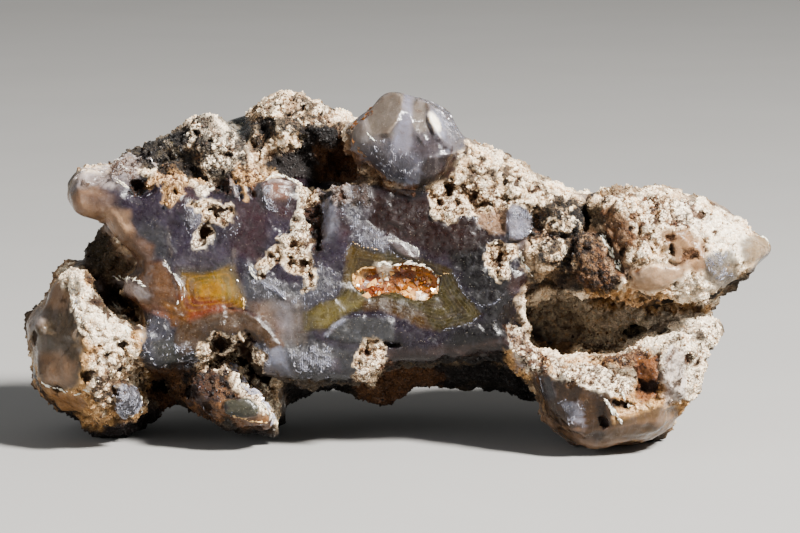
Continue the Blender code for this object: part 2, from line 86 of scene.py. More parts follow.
# Colours as they look in the photograph, in sRGB from 0 to 255, picked one by one.
COLOURS = {
    "violet": (74, 65, 77),
    "dark violet": (44, 37, 40),
    "blue grey": (88, 87, 94),
    "frost": (206, 205, 210),
    "lip": (200, 194, 192),
    "pale blue": (182, 182, 190),
    "smoke": (94, 94, 94),
    "lilac": (114, 106, 114),
    # A painted shadow: the slab's mauve brown where the knob's shadow falls on it.
    "mauve brown shadow": (64, 46, 34),
    "reddish": (92, 62, 56),
    "salmon": (148, 118, 96),
    "dusky pink": (98, 80, 70),
    "pink": (172, 130, 106),
    "tan glow": (192, 170, 148),
    "tip": (96, 70, 42),
    "olive": (122, 108, 88),
    "plume": (136, 126, 118),
    "lens": (104, 81, 60),
    "glassy brown": (106, 78, 54),
    "dim brown": (72, 52, 32),
    "ochre": (156, 130, 58),
    "yellow": (188, 152, 76),
    "orange": (152, 80, 0),
    "amber": (140, 98, 26),
    "red brown": (88, 34, 8),
    "gold brown": (98, 71, 4),
    "olive gold": (82, 73, 42),
    "dull ochre": (132, 120, 78),
    "olive brown": (112, 92, 56),
    "band grey": (140, 130, 104),
    "vug orange": (170, 92, 24),
    "vug gold": (200, 146, 60),
    "crust": (242, 237, 228),
    "white": (243, 241, 237),
    "cream": (230, 213, 182),
    "tan": (170, 130, 90),
    "brown": (112, 80, 42),
    "deep brown": (66, 42, 22),
    "pit": (40, 25, 12),
    "rust": (158, 108, 46),
    "earth": (118, 74, 30),
    "gap": (44, 37, 27),
    "slate": (82, 81, 76),
    "sienna": (128, 96, 70),
    "pale ochre": (164, 148, 112),
    "gold": (178, 120, 50),
    "grey crust": (196, 190, 178),
    "green crust": (208, 204, 186),
    "dark rock": (56, 46, 32),
    "dark olive": (112, 94, 66),
    "green glass": (24, 44, 34),
    "glass": (148, 145, 150),
    "glass light": (172, 170, 178),
    "bar": (126, 116, 114),
    "chip blue": (112, 109, 118),
    "wing": (118, 110, 98),
    "moss glass": (98, 96, 82),
    "glass brown": (156, 146, 135),
    "mauve glass": (112, 102, 106),
}

# The tone curve that a render is shown through, from stops of light to brightness, how much
# light falls on the front and how much of it is gloss. With them a colour that was picked as seen
# gives the surface's own.
TONE_CURVE = (15.5, -40.14, 31.96, -6.868, 0.4298, 0.1191, -0.00232)
TONE_STOPS = (-12.474, 4.026)
TONE_MIXING = ((0.8425, 0.0784, 0.0792), (0.0423, 0.8785, 0.0792), (0.0424, 0.0784, 0.8791))
LIGHT_LEVEL = 4.5
GLOSS_LIGHT = 0.015
VIVIDNESS = 1.06
DARKEST, BRIGHTEST = 0.0012, 0.90

# The tints that are stored on the meshes stay between these.
DARKEST_TINT, PALEST, PALEST_SPLINTER = 0.001, 0.95, 0.90

# How far apart the noise of two seeds is taken, in its own size.
SWELL_SHIFT, CELL_SHIFT = 7.3, 5.9

# Outlines on the front, in the photograph's pixels.
SLAB = [
    (68, 203), (72, 186), (88, 172), (113, 168), (135, 172), (165, 182), (200, 186), (232, 178),
    (262, 180), (300, 178), (345, 184), (400, 187), (432, 192), (470, 200), (505, 206), (530, 212),
    (533, 232), (514, 243), (519, 262), (528, 277), (514, 300), (519, 318), (527, 336), (508, 350),
    (480, 354), (450, 356), (425, 360), (385, 361), (370, 372), (357, 380), (340, 376), (320, 381),
    (300, 379), (272, 372), (262, 366), (250, 345), (235, 345), (215, 352), (195, 367), (165, 368),
    (148, 367), (138, 354), (146, 335), (142, 306), (128, 297), (118, 285), (124, 276), (136, 280),
    (134, 262), (118, 243), (110, 230), (103, 218), (88, 220), (73, 213),
]
KNOB = [
    (349, 126), (372, 112), (380, 98), (392, 91), (404, 92), (427, 104), (447, 118), (461, 138),
    (456, 155), (440, 161), (425, 175), (415, 187), (400, 184), (388, 179), (375, 167), (351, 150),
]
PATCH_LEFT = [
    (181, 272), (200, 272), (215, 271), (228, 266), (233, 275), (238, 285), (246, 300), (244, 308),
    (215, 308), (200, 312), (190, 316), (178, 306), (184, 293), (182, 282),
]
PATCH_RIGHT = [
    (350, 243), (365, 248), (385, 251), (400, 252), (418, 258), (435, 263), (452, 270), (456, 281),
    (463, 291), (474, 304), (481, 314), (470, 323), (440, 331), (418, 326), (405, 318), (390, 312),
    (375, 308), (352, 312), (340, 318), (330, 328), (306, 330), (305, 314), (318, 304), (335, 299),
    (342, 288), (343, 272), (347, 258),
]
VUG = [
    (353, 283), (355, 274), (362, 269), (376, 267), (395, 266), (406, 264), (420, 266), (431, 270),
    (438, 277), (437, 288), (432, 296), (424, 300), (412, 297), (398, 292), (386, 290), (378, 293),
    (370, 297), (360, 291),
]
DOME = [
    (174, 340), (178, 322), (190, 315), (215, 309), (243, 308), (258, 316), (271, 330), (284, 345),
    (270, 350), (258, 338), (240, 332), (215, 338), (196, 350), (180, 356),
]
BAR = [(387, 241), (395, 239), (406, 244), (418, 250), (418, 260), (408, 258), (398, 253)]
CHIP = [(352, 240), (372, 230), (386, 232), (388, 248), (372, 252)]
RAISED_RIM = [
    (256, 184), (264, 177), (280, 176), (298, 184), (300, 196), (286, 201), (268, 202), (258, 196),
]
GREY_LENS = [
    (327, 336), (332, 325), (345, 318), (360, 316), (378, 317), (393, 321), (393, 340), (370, 343),
    (345, 342),
]
PALE_CHIP = [
    (508, 206), (520, 205), (529, 212), (533, 222), (530, 233), (520, 240), (510, 239), (506, 226),
]
FOOT_LENS = [(223, 400), (238, 396), (250, 399), (259, 408), (257, 416), (240, 416), (226, 412)]
LOW_CHIP = [
    (117, 384), (131, 384), (138, 394), (143, 402), (140, 410), (131, 417), (122, 417), (116, 410),
]
CRUST_RIDGE = [
    (455, 152), (470, 148), (490, 152), (512, 160), (540, 172), (562, 186), (580, 198), (586, 215),
    (584, 240), (575, 262), (560, 275), (540, 276), (526, 268), (530, 245), (533, 222), (520, 206),
    (495, 196), (470, 190), (455, 175),
]
NODULE = [
    (572, 262), (570, 240), (580, 226), (592, 225), (604, 232), (614, 246), (619, 266), (610, 284),
    (592, 290), (578, 282),
]
WEDGE = [
    (598, 190), (620, 186), (650, 186), (680, 192), (712, 204), (740, 220), (762, 232), (777, 240),
    (768, 252), (750, 268), (735, 284), (712, 296), (680, 300), (640, 300), (618, 290), (606, 262),
    (600, 235), (592, 222),
]
LEFT_BLOCK = [
    (27, 318), (40, 300), (52, 282), (62, 266), (80, 266), (96, 278), (118, 290), (140, 306),
    (146, 335), (138, 354), (150, 372), (144, 398), (140, 416), (118, 420), (100, 432), (70, 420),
    (40, 405), (28, 372), (27, 340),
]
LOWER_LUMP = [
    (500, 335), (525, 340), (548, 358), (590, 372), (632, 384), (650, 372), (668, 340), (690, 318),
    (716, 315), (716, 350), (706, 400), (680, 430), (650, 447), (600, 447), (565, 438), (545, 405),
    (530, 380), (508, 362),
]

# The rock everywhere, under all coats: colour, size of its patches in millimetres, seed, where its
# noise begins and is full, and how crumbly it is. Then how strongly it covers, and how strongly
# dark rock is painted as shade over what looks down.
GROUND_PATCHES = [
    ("tan", 7.0, 21, 0.05, 0.35, None), ("grey crust", 9.0, 22, 0.05, 0.30, None),
    ("brown", 6.0, 23, 0.18, 0.42, None), ("dark rock", 11.0, 24, 0.22, 0.42, None),
    ("lilac", 12.0, 25, 0.26, 0.34, 0.1), ("smoke", 10.0, 26, 0.30, 0.38, 0.1),
]
PATCH_STRENGTH = 0.85
UNDERSIDE_SHADE_STRENGTH = 0.95
SHADED_DOWNWARD = (0.1, 0.6)

# Coats of colour, laid one over the other: outline, colour, strength, how crumbly the surface is
# from 0 to 1, how many pixels the edge fades over, and how far its edge strays.
GROUND_COATS = [
    # Painted light: the hollow under the wedge is painted white, much paler than its brown wall, so
    # that it doesn't go black in its shade.
    ([(515, 302), (540, 290), (575, 292), (610, 302), (655, 304), (700, 300), (704, 322),
      (676, 340), (640, 352), (600, 350), (560, 342), (525, 322)], "white", 1.0, 0.8, 10, 1.0),
    ([(82, 222), (105, 226), (122, 245), (138, 268), (132, 284), (108, 282), (88, 266)],
     "dark olive", 0.95, 1.0, 6, 1.0),
    # Dark rock under the slab's lower edge, partly the dark matrix and partly painted shade.
    ([(345, 378), (380, 352), (430, 344), (515, 340), (530, 366), (550, 398), (520, 400),
      (470, 386), (425, 392), (400, 410), (365, 410)], "dark rock", 1.0, 1.0, 6, 0.4),
    ([(345, 384), (382, 364), (424, 366), (446, 378), (420, 394), (396, 410), (365, 410)],
     "tan", 0.7, 1.0, 10, 1.0),
    ([(140, 356), (180, 350), (225, 366), (238, 400), (215, 426), (180, 422), (146, 400)],
     "tan", 0.9, 1.0, 8, 1.0),
    ([(92, 412), (140, 402), (162, 412), (152, 436), (106, 442)], "deep brown", 0.9, 1.0, 8, 1.0),
    (LEFT_BLOCK, "cream", 0.9, 0.9, 8, 0.5),
    ([(27, 318), (45, 296), (60, 276), (70, 284), (76, 308), (84, 330), (84, 352), (80, 384),
      (60, 392), (40, 386), (28, 350)], "wing", 0.95, 0.0, 7, 0.8),
    ([(40, 312), (62, 306), (80, 330), (82, 366), (66, 384), (50, 350)], "glassy brown",
     0.35, 0.0, 14, 1.0),
    ([(44, 308), (58, 282), (70, 286), (72, 306), (60, 310)], "tan glow", 0.75, 0.0, 8, 0.8),
    ([(27, 318), (36, 304), (44, 312), (40, 326), (28, 332)], "lip", 0.4, 0.1, 7, 0.8),
    ([(38, 352), (56, 350), (76, 364), (72, 384), (46, 384)], "tan glow", 0.8, 0.0, 12, 0.8),
    ([(34, 382), (60, 392), (84, 392), (88, 416), (70, 424), (40, 408)],
     "tan", 0.85, 0.2, 8, 1.0),
    ([(60, 268), (78, 264), (84, 276), (76, 290), (62, 288)], "white", 0.9, 0.7, 4, 0.8),
    ([(72, 286), (88, 290), (100, 306), (130, 322), (128, 346), (104, 350), (86, 338), (76, 312)],
     "white", 0.9, 0.8, 6, 1.0),
    ([(96, 350), (132, 344), (146, 370), (138, 400), (104, 408), (90, 380)],
     "crust", 0.9, 0.9, 8, 1.0),
    ([(82, 270), (100, 273), (120, 285), (142, 303), (144, 332), (134, 334), (122, 318),
      (108, 312), (96, 308), (86, 292)], "brown", 1.0, 0.9, 4, 0.5),
    ([(86, 274), (104, 280), (130, 300), (138, 318), (116, 306), (96, 300)],
     "red brown", 0.5, 0.9, 8, 1.0),
    ([(62, 286), (70, 266), (80, 267), (82, 282), (83, 291), (94, 308), (108, 316), (116, 322),
      (124, 334), (118, 347), (106, 346), (100, 338), (86, 334), (77, 322), (71, 312), (70, 292)],
     "white", 1.0, 0.85, 3, 0.4),
    (LOWER_LUMP, "cream", 0.9, 0.9, 8, 0.5),
    ([(566, 356), (600, 352), (640, 346), (652, 352), (640, 366), (600, 368), (570, 364)],
     "cream", 0.9, 1.0, 6, 1.0),
    ([(655, 335), (690, 318), (716, 316), (716, 350), (704, 400), (672, 402), (656, 372)],
     "white", 1.0, 0.85, 8, 1.0),
    ([(664, 348), (684, 350), (690, 380), (684, 402), (664, 404), (660, 376)],
     "lip", 0.85, 0.45, 6, 0.8),
    ([(548, 376), (575, 378), (604, 386), (620, 400), (612, 428), (590, 446), (562, 440),
      (546, 410)], "glassy brown", 1.0, 0.0, 6, 0.5),
    ([(545, 410), (565, 424), (600, 430), (625, 414), (660, 402), (680, 410), (680, 436),
      (650, 450), (600, 450), (556, 440)], "glassy brown", 0.9, 0.05, 8, 0.8),
    ([(530, 372), (552, 374), (560, 404), (574, 430), (602, 447), (566, 441), (545, 414),
      (532, 390)], "glassy brown", 0.95, 0.1, 5, 0.5),
    # Painted highlight: the pale streak on the lower lump's glassy face.
    ([(560, 402), (572, 402), (584, 416), (582, 428), (570, 418)], "pale blue", 0.7, 0.0, 4, 0.4),
    ([(560, 432), (600, 441), (650, 440), (676, 420), (682, 432), (650, 452), (598, 452)],
     "tan glow", 0.6, 0.05, 8, 0.8),
    ([(533, 368), (553, 372), (556, 398), (544, 402), (534, 386)], "blue grey", 0.8, 0.1, 5, 0.6),
    ([(512, 350), (530, 350), (530, 366), (516, 368)], "pale blue", 0.8, 0.1, 4, 0.6),
    (CRUST_RIDGE, "crust", 0.9, 1.0, 6, 0.8),
    ([(495, 160), (530, 168), (562, 188), (580, 204), (570, 222), (545, 216), (515, 200),
      (490, 190)], "green crust", 0.25, 1.0, 12, 1.0),
    (NODULE, "tan", 0.85, 0.75, 6, 0.7),
    ([(520, 250), (545, 252), (566, 262), (562, 278), (540, 278), (526, 268)],
     "brown", 0.6, 1.0, 6, 0.8),
    (WEDGE, "crust", 0.95, 1.0, 6, 0.6),
    ([(672, 196), (706, 203), (736, 218), (754, 236), (748, 262), (716, 266), (706, 240),
      (680, 226)], "white", 1.0, 0.62, 6, 0.8),
    ([(598, 210), (612, 204), (628, 216), (636, 240), (630, 266), (614, 282), (602, 256)],
     "rust", 0.92, 0.5, 9, 1.0),
    ([(660, 228), (684, 230), (706, 244), (708, 270), (696, 274), (676, 262), (662, 246)],
     "tan", 0.92, 0.2, 5, 0.8),
    ([(604, 184), (642, 183), (640, 192), (606, 194)], "brown", 0.8, 0.8, 5, 0.8),
    ([(624, 264), (660, 266), (686, 262), (688, 280), (655, 292), (628, 290)],
     "tan glow", 0.9, 0.05, 6, 0.6),
    ([(706, 252), (736, 248), (740, 276), (722, 292), (704, 288)], "wing", 0.9, 0.1, 6, 0.8),
    ([(738, 240), (756, 232), (778, 240), (768, 254), (746, 270)], "tip", 0.85, 0.05, 6, 0.4),
    # Painted light: the shaded ceiling of that hollow is painted cream, paler than its rock.
    ([(590, 288), (640, 294), (720, 292), (718, 312), (650, 314), (592, 308)],
     "cream", 0.95, 0.9, 6, 0.8),
    ([(676, 280), (694, 275), (712, 284), (716, 300), (690, 306), (674, 298)],
     "white", 0.95, 0.9, 5, 0.8),
    ([(583, 204), (604, 204), (606, 224), (586, 226)], "dark olive", 0.9, 1.0, 5, 0.8),
]
LUMP_COATS = [
    ([(74, 168), (120, 155), (160, 135), (196, 118), (230, 118), (248, 140), (248, 178),
      (200, 182), (150, 172), (110, 166)], "grey crust", 0.9, 1.0, 6, 0.8),
    # Painted light and shade on the left lump: dark rock as painted shade on its left side and on the
    # small lump above, and white, partly painted light, on its upper right side.
    ([(112, 150), (150, 134), (168, 128), (172, 150), (180, 168), (150, 168), (118, 164)],
     "dark rock", 0.85, 1.0, 8, 1.2),
    ([(182, 122), (210, 114), (236, 128), (246, 146), (240, 158), (214, 150), (190, 140)],
     "white", 0.85, 1.0, 6, 1.2),
    ([(196, 146), (228, 150), (240, 168), (224, 174), (206, 168)], "white", 0.8, 1.0, 5, 1.2),
    ([(168, 122), (188, 120), (190, 140), (182, 146), (168, 138)], "dark rock", 0.95, 1.0, 4, 0.8),
    ([(248, 100), (270, 94), (300, 97), (330, 110), (347, 122), (350, 150), (340, 186),
      (300, 186), (262, 172), (248, 140)], "crust", 0.9, 1.0, 6, 0.6),
    ([(254, 116), (272, 116), (276, 130), (262, 136), (252, 130)], "dark rock", 0.95, 1.0, 4, 0.8),
    # The next three coats paint the knob's shadow in the pocket on the lump's right flank: dark rock,
    # and tan in its deepest part, which is painted lighter so that it doesn't go black.
    ([(300, 128), (316, 124), (340, 130), (346, 148), (360, 162), (372, 182), (338, 184),
      (316, 190), (296, 182), (278, 175), (262, 164), (282, 156), (298, 148)],
     "dark rock", 1.0, 1.0, 5, 0.6),
    ([(264, 152), (288, 144), (302, 150), (302, 184), (280, 176), (262, 168)],
     "dark rock", 0.85, 1.0, 5, 1.0),
    ([(316, 146), (346, 142), (368, 182), (338, 186), (318, 180)], "tan", 0.7, 1.0, 10, 1.0),
    ([(336, 124), (350, 126), (352, 150), (342, 154)], "rust", 0.8, 1.0, 4, 0.8),
    ([(283, 98), (302, 100), (300, 112), (286, 112)], "pink", 0.6, 0.9, 5, 0.8),
    ([(318, 112), (334, 114), (332, 124), (318, 122)], "pink", 0.6, 0.9, 5, 0.8),
    ([(222, 120), (236, 113), (250, 117), (254, 132), (247, 147), (236, 140), (228, 130)],
     "green glass", 1.0, 0.0, 3, 0.3),
    # Deep brown under the left lump, partly brown rock and partly painted shadow.
    ([(146, 166), (165, 162), (190, 164), (206, 176), (226, 178), (238, 168), (244, 176),
      (232, 184), (214, 182), (206, 186), (196, 180), (184, 178), (172, 168), (156, 168)],
     "deep brown", 0.9, 1.0, 5, 0.8),
    ([(426, 192), (452, 184), (460, 162), (470, 165), (480, 190), (510, 198), (500, 214), (470, 232),
      (432, 232), (420, 214)], "crust", 0.85, 1.0, 7, 1.0),
]
# The slab's coats, which are clear: outline, colour, strength, pixels of fading and straying. An
# edge that isn't sharp fades over more pixels yet.
SHARP_EDGE = 4
SOFT_SLAB = 1.7
SLAB_COATS = [
    (SLAB, "violet", 1.0, 2.5, 0.35),
    ([(140, 190), (200, 192), (235, 205), (240, 240), (210, 262), (172, 262), (150, 225)],
     "violet", 0.6, 12, 1.0),
    ([(175, 186), (202, 190), (206, 208), (180, 210)], "reddish", 0.5, 8, 1.0),
    ([(228, 200), (262, 196), (268, 235), (258, 262), (236, 255)], "reddish", 0.45, 10, 1.0),
    ([(262, 182), (304, 180), (310, 215), (280, 222), (262, 212)], "reddish", 0.5, 8, 1.0),
    (RAISED_RIM, "smoke", 0.7, 6, 0.6),
    ([(266, 184), (278, 180), (288, 186), (286, 198), (270, 200)], "pink", 0.6, 7, 0.6),
    ([(310, 186), (345, 186), (366, 200), (362, 222), (330, 226), (312, 214)],
     "blue grey", 0.75, 8, 0.8),
    ([(324, 204), (332, 201), (338, 214), (337, 232), (326, 237), (322, 222)],
     "pale blue", 0.5, 8, 0.6),
    ([(334, 204), (344, 202), (352, 224), (346, 240), (338, 232)], "reddish", 0.5, 6, 0.8),
    # Painted shadow of the knob on the slab, in mauve brown.
    ([(365, 184), (430, 196), (500, 212), (504, 250), (462, 264), (420, 250), (380, 240),
      (364, 222)], "mauve brown shadow", 0.97, 14, 1.0),
    ([(450, 252), (514, 244), (520, 280), (514, 310), (520, 338), (480, 352), (440, 348),
      (450, 330), (481, 316), (464, 291), (455, 272)], "dark violet", 0.95, 10, 1.0),
    ([(140, 224), (168, 226), (172, 256), (176, 276), (160, 262), (142, 248)],
     "smoke", 0.6, 8, 1.0),
    ([(180, 255), (230, 248), (236, 270), (200, 274), (182, 274)], "lilac", 0.4, 8, 1.0),
    ([(68, 192), (92, 184), (112, 196), (114, 216), (96, 222), (70, 214)],
     "tan glow", 0.85, 7, 0.7),
    ([(72, 188), (76, 174), (90, 168), (110, 162), (140, 166), (136, 186), (116, 188),
      (96, 184)], "lip", 0.8, 5, 0.7),
    ([(114, 176), (128, 174), (137, 188), (122, 192), (114, 188)], "lilac", 0.7, 8, 0.8),
    ([(84, 194), (112, 190), (150, 198), (140, 214), (112, 212), (96, 206)],
     "violet", 0.7, 12, 0.8),
    ([(104, 210), (130, 212), (136, 234), (128, 262), (114, 244), (106, 228)],
     "tan glow", 1.0, 6, 0.6),
    ([(118, 236), (136, 232), (152, 246), (152, 262), (136, 266), (124, 254)],
     "salmon", 0.8, 6, 0.6),
    ([(124, 275), (140, 262), (162, 262), (172, 272), (182, 286), (184, 300), (180, 316),
      (160, 312), (142, 304), (126, 294)], "sienna", 0.9, 5, 0.5),
    ([(126, 290), (144, 300), (176, 314), (174, 322), (146, 312), (128, 298)],
     "pink", 0.6, 4, 0.5),
    ([(142, 312), (172, 322), (182, 345), (168, 368), (148, 366), (138, 352)],
     "blue grey", 0.8, 7, 0.8),
    ([(152, 342), (172, 338), (200, 344), (198, 366), (160, 368)], "slate", 1.0, 8, 0.8),
    ([(250, 272), (290, 285), (304, 290), (300, 312), (270, 316), (250, 302), (240, 286)],
     "smoke", 0.7, 7, 0.8),
    ([(245, 305), (268, 300), (302, 296), (308, 318), (308, 342), (292, 350), (278, 338),
      (262, 320)], "plume", 0.85, 7, 0.8),
    ([(244, 304), (262, 302), (276, 314), (286, 334), (276, 334), (262, 318)],
     "salmon", 0.5, 10, 0.6),
    ([(276, 302), (290, 300), (296, 324), (292, 340), (280, 330)], "pale blue", 0.2, 12, 1.0),
    ([(262, 346), (300, 340), (340, 344), (384, 344), (384, 360), (350, 376), (300, 380),
      (270, 370)], "smoke", 0.8, 8, 0.9),
    ([(260, 348), (286, 348), (292, 372), (266, 372)], "pale blue", 0.45, 8, 1.0),
    ([(300, 268), (335, 272), (344, 286), (334, 300), (306, 310), (296, 290)],
     "blue grey", 0.7, 6, 0.9),
    ([(390, 318), (440, 332), (470, 326), (470, 345), (420, 352), (392, 348)],
     "dark violet", 0.35, 8, 0.9),
    ([(512, 272), (522, 270), (526, 286), (516, 294), (508, 288)], "reddish", 0.6, 5, 0.8),
    ([(384, 352), (425, 350), (480, 344), (512, 338), (512, 350), (480, 356), (425, 362),
      (386, 363)], "dusky pink", 0.7, 6, 0.8),
    ([(330, 360), (342, 360), (344, 374), (330, 374)], "lilac", 0.7, 4, 0.8),
    (DOME, "lens", 0.95, 1.6, 0.15),
    ([(164, 302), (178, 307), (191, 316), (182, 323), (172, 328)], "amber", 0.8, 4, 0.3),
    (PATCH_LEFT, "ochre", 1.0, 2.0, 0.1),
    ([(178, 268), (212, 268), (204, 280), (192, 286), (180, 286)], "olive brown", 0.7, 7, 0.3),
    ([(180, 282), (197, 282), (199, 300), (196, 318), (178, 310)], "amber", 0.8, 7, 0.3),
    ([(178, 297), (200, 296), (215, 298), (232, 302), (243, 309), (215, 312), (190, 319)],
     "orange", 0.9, 6, 0.3),
    ([(200, 284), (219, 281), (221, 294), (201, 296)], "yellow", 0.8, 4, 0.2),
    ([(222, 268), (232, 266), (240, 288), (243, 300), (230, 296)], "pale ochre", 0.85, 6, 0.3),
    (PATCH_RIGHT, "olive gold", 1.0, 2.0, 0.15),
    ([(304, 312), (336, 299), (350, 292), (366, 296), (362, 306), (340, 318), (328, 328),
      (304, 332)], "dull ochre", 0.85, 4, 0.3),
    ([(362, 302), (384, 297), (404, 305), (424, 314), (434, 331), (420, 328), (404, 319),
      (380, 311), (362, 311)], "gold brown", 0.9, 4, 0.3),
    ([(384, 296), (404, 302), (426, 302), (452, 296), (470, 312), (440, 326), (420, 314),
      (400, 306)], "olive", 0.12, 10, 0.4),
    ([(349, 244), (378, 251), (388, 262), (378, 268), (356, 274), (350, 290), (342, 286),
      (344, 268)], "olive brown", 0.9, 4, 0.3),
    ([(392, 254), (420, 259), (450, 271), (446, 278), (420, 264), (396, 262)],
     "gold brown", 0.6, 5, 0.3),
    (CHIP, "chip blue", 0.5, 5, 1.0),
    (GREY_LENS, "smoke", 0.9, 2.0, 0.4),
    (BAR, "bar", 0.8, 2.0, 0.3),
    (VUG, "vug gold", 1.0, 1.5, 0.4),
    ([(353, 272), (367, 268), (368, 280), (358, 284)], "cream", 0.9, 3, 0.5),
    ([(366, 276), (378, 275), (381, 292), (370, 297), (361, 289)], "vug orange", 0.9, 3, 0.5),
    ([(376, 263), (392, 263), (392, 276), (380, 279)], "white", 0.8, 3, 0.5),
    ([(383, 277), (398, 276), (399, 288), (386, 289)], "pink", 0.7, 4, 0.8),
    ([(397, 269), (416, 268), (415, 279), (398, 280)], "vug orange", 0.9, 3, 0.5),
    ([(403, 288), (415, 288), (414, 295), (404, 294)], "cream", 0.7, 2, 0.3),
    ([(418, 290), (428, 290), (424, 299), (414, 298)], "white", 0.7, 3, 0.5),
]
# The islands of crust on the slab, with the same columns as the other coats. Round them lies a
# little frost, over so many pixels.
FROST_REACH = 13.0
FROST_STRAY = 1.5
ISLAND_FROST = 0.15
CRUST_ISLANDS = [
    ([(110, 166), (126, 158), (140, 162), (137, 178), (126, 182), (114, 178)],
     "lip", 0.85, 0.9, 4, 1.4),
    ([(128, 178), (148, 178), (150, 192), (130, 194)], "pit", 0.9, 1.0, 3, 1.0),
    ([(146, 186), (150, 176), (158, 170), (172, 169), (184, 177), (185, 184), (179, 188),
      (180, 196), (171, 206), (162, 204), (165, 194), (164, 181), (157, 179), (151, 190)],
     "cream", 0.95, 1.0, 3, 0.8),
    ([(194, 188), (200, 184), (208, 188), (207, 197), (198, 196)], "white", 0.9, 1.0, 3, 0.8),
    ([(206, 184), (210, 178), (218, 180), (216, 187), (210, 190)], "white", 0.9, 1.0, 3, 0.6),
    ([(214, 180), (230, 178), (232, 194), (216, 194)], "deep brown", 0.9, 1.0, 3, 0.8),
    ([(236, 164), (262, 166), (274, 174), (262, 181), (250, 187), (236, 183)],
     "cream", 0.9, 1.0, 4, 1.0),
    ([(189, 206), (194, 202), (204, 200), (220, 204), (232, 203), (233, 216), (226, 223),
      (212, 222), (203, 222), (202, 214)], "crust", 0.9, 1.0, 3, 0.9),
    ([(194, 236), (200, 224), (208, 222), (212, 232), (208, 244), (204, 250), (195, 249),
      (191, 242)], "white", 0.95, 1.0, 3, 0.8),
    ([(292, 192), (304, 188), (310, 200), (310, 232), (302, 240), (290, 242), (285, 238),
      (292, 222), (296, 208)], "white", 0.95, 1.0, 3, 1.3),
    ([(282, 238), (300, 234), (310, 240), (309, 254), (313, 270), (313, 287), (304, 290),
      (298, 280), (296, 267), (290, 270), (284, 264), (282, 250)], "crust", 0.95, 1.0, 3, 1.3),
    ([(267, 250), (280, 251), (282, 262), (274, 268), (266, 277), (257, 277), (260, 264)],
     "crust", 0.95, 1.0, 3, 1.3),
    ([(310, 194), (316, 190), (325, 195), (322, 222), (322, 250), (314, 253), (312, 236),
      (308, 216)], "deep brown", 0.95, 1.0, 3, 0.8),
    ([(298, 188), (308, 188), (318, 193), (320, 202), (308, 206), (300, 200)],
     "crust", 0.9, 1.0, 3, 0.8),
    ([(330, 186), (348, 184), (350, 200), (340, 206), (332, 200)], "lip", 0.85, 1.0, 3, 1.2),
    ([(350, 182), (368, 180), (370, 204), (352, 206)], "dusky pink", 0.8, 0.7, 4, 1.0),
    ([(478, 206), (492, 202), (508, 208), (510, 226), (494, 232), (480, 224)],
     "tan glow", 0.9, 0.6, 4, 1.0),
    ([(426, 184), (446, 178), (470, 184), (500, 188), (512, 196), (506, 208), (470, 214),
      (450, 222), (432, 218)], "crust", 0.95, 1.0, 3, 1.0),
    ([(487, 242), (500, 236), (514, 244), (514, 262), (508, 276), (492, 276), (488, 260)],
     "crust", 0.95, 1.0, 3, 1.6),
    ([(192, 344), (206, 336), (234, 334), (250, 334), (262, 360), (268, 384), (240, 388),
      (232, 372), (215, 372), (196, 370)], "crust", 0.95, 1.0, 3, 1.6),
    ([(356, 344), (370, 340), (386, 346), (384, 366), (372, 382), (358, 384)],
     "crust", 0.9, 1.0, 3, 1.6),
    ([(506, 326), (528, 330), (540, 360), (548, 372), (530, 374), (512, 352)],
     "white", 0.9, 1.0, 3, 0.9),
    ([(545, 356), (590, 366), (632, 382), (634, 396), (600, 392), (556, 378)],
     "white", 0.9, 1.0, 3, 0.8),
    ([(608, 338), (642, 340), (644, 358), (620, 364)], "crust", 0.85, 1.0, 4, 1.0),
    ([(634, 354), (660, 352), (660, 398), (636, 402)], "gold", 0.95, 0.5, 4, 0.8),
    ([(228, 368), (252, 372), (272, 384), (274, 408), (262, 412), (252, 400), (236, 388)],
     "white", 0.9, 1.0, 3, 0.8),
    ([(180, 392), (205, 386), (222, 394), (230, 414), (210, 422), (188, 412)],
     "tan", 0.85, 0.3, 6, 0.8),
    ([(190, 378), (216, 376), (220, 396), (200, 398)], "dim brown", 0.85, 1.0, 5, 1.0),
    ([(230, 412), (256, 414), (276, 414), (272, 430), (244, 430)], "tan", 0.8, 0.1, 5, 0.6),
    (FOOT_LENS, "moss glass", 1.0, 0.0, 2.5, 0.3),
    (LOW_CHIP, "blue grey", 1.0, 0.0, 2.5, 0.4),
    (PALE_CHIP, "glass light", 0.95, 0.0, 2.0, 0.4),
    ([(114, 277), (124, 279), (140, 285), (150, 294), (146, 299), (130, 296), (118, 290)],
     "lip", 0.85, 0.1, 4, 0.5),
    ([(93, 280), (99, 279), (104, 288), (99, 292), (93, 288)], "lip", 0.8, 0.3, 3, 0.5),
    ([(110, 302), (118, 304), (128, 318), (132, 334), (124, 330), (116, 316)],
     "white", 0.9, 0.5, 3, 0.6),
]
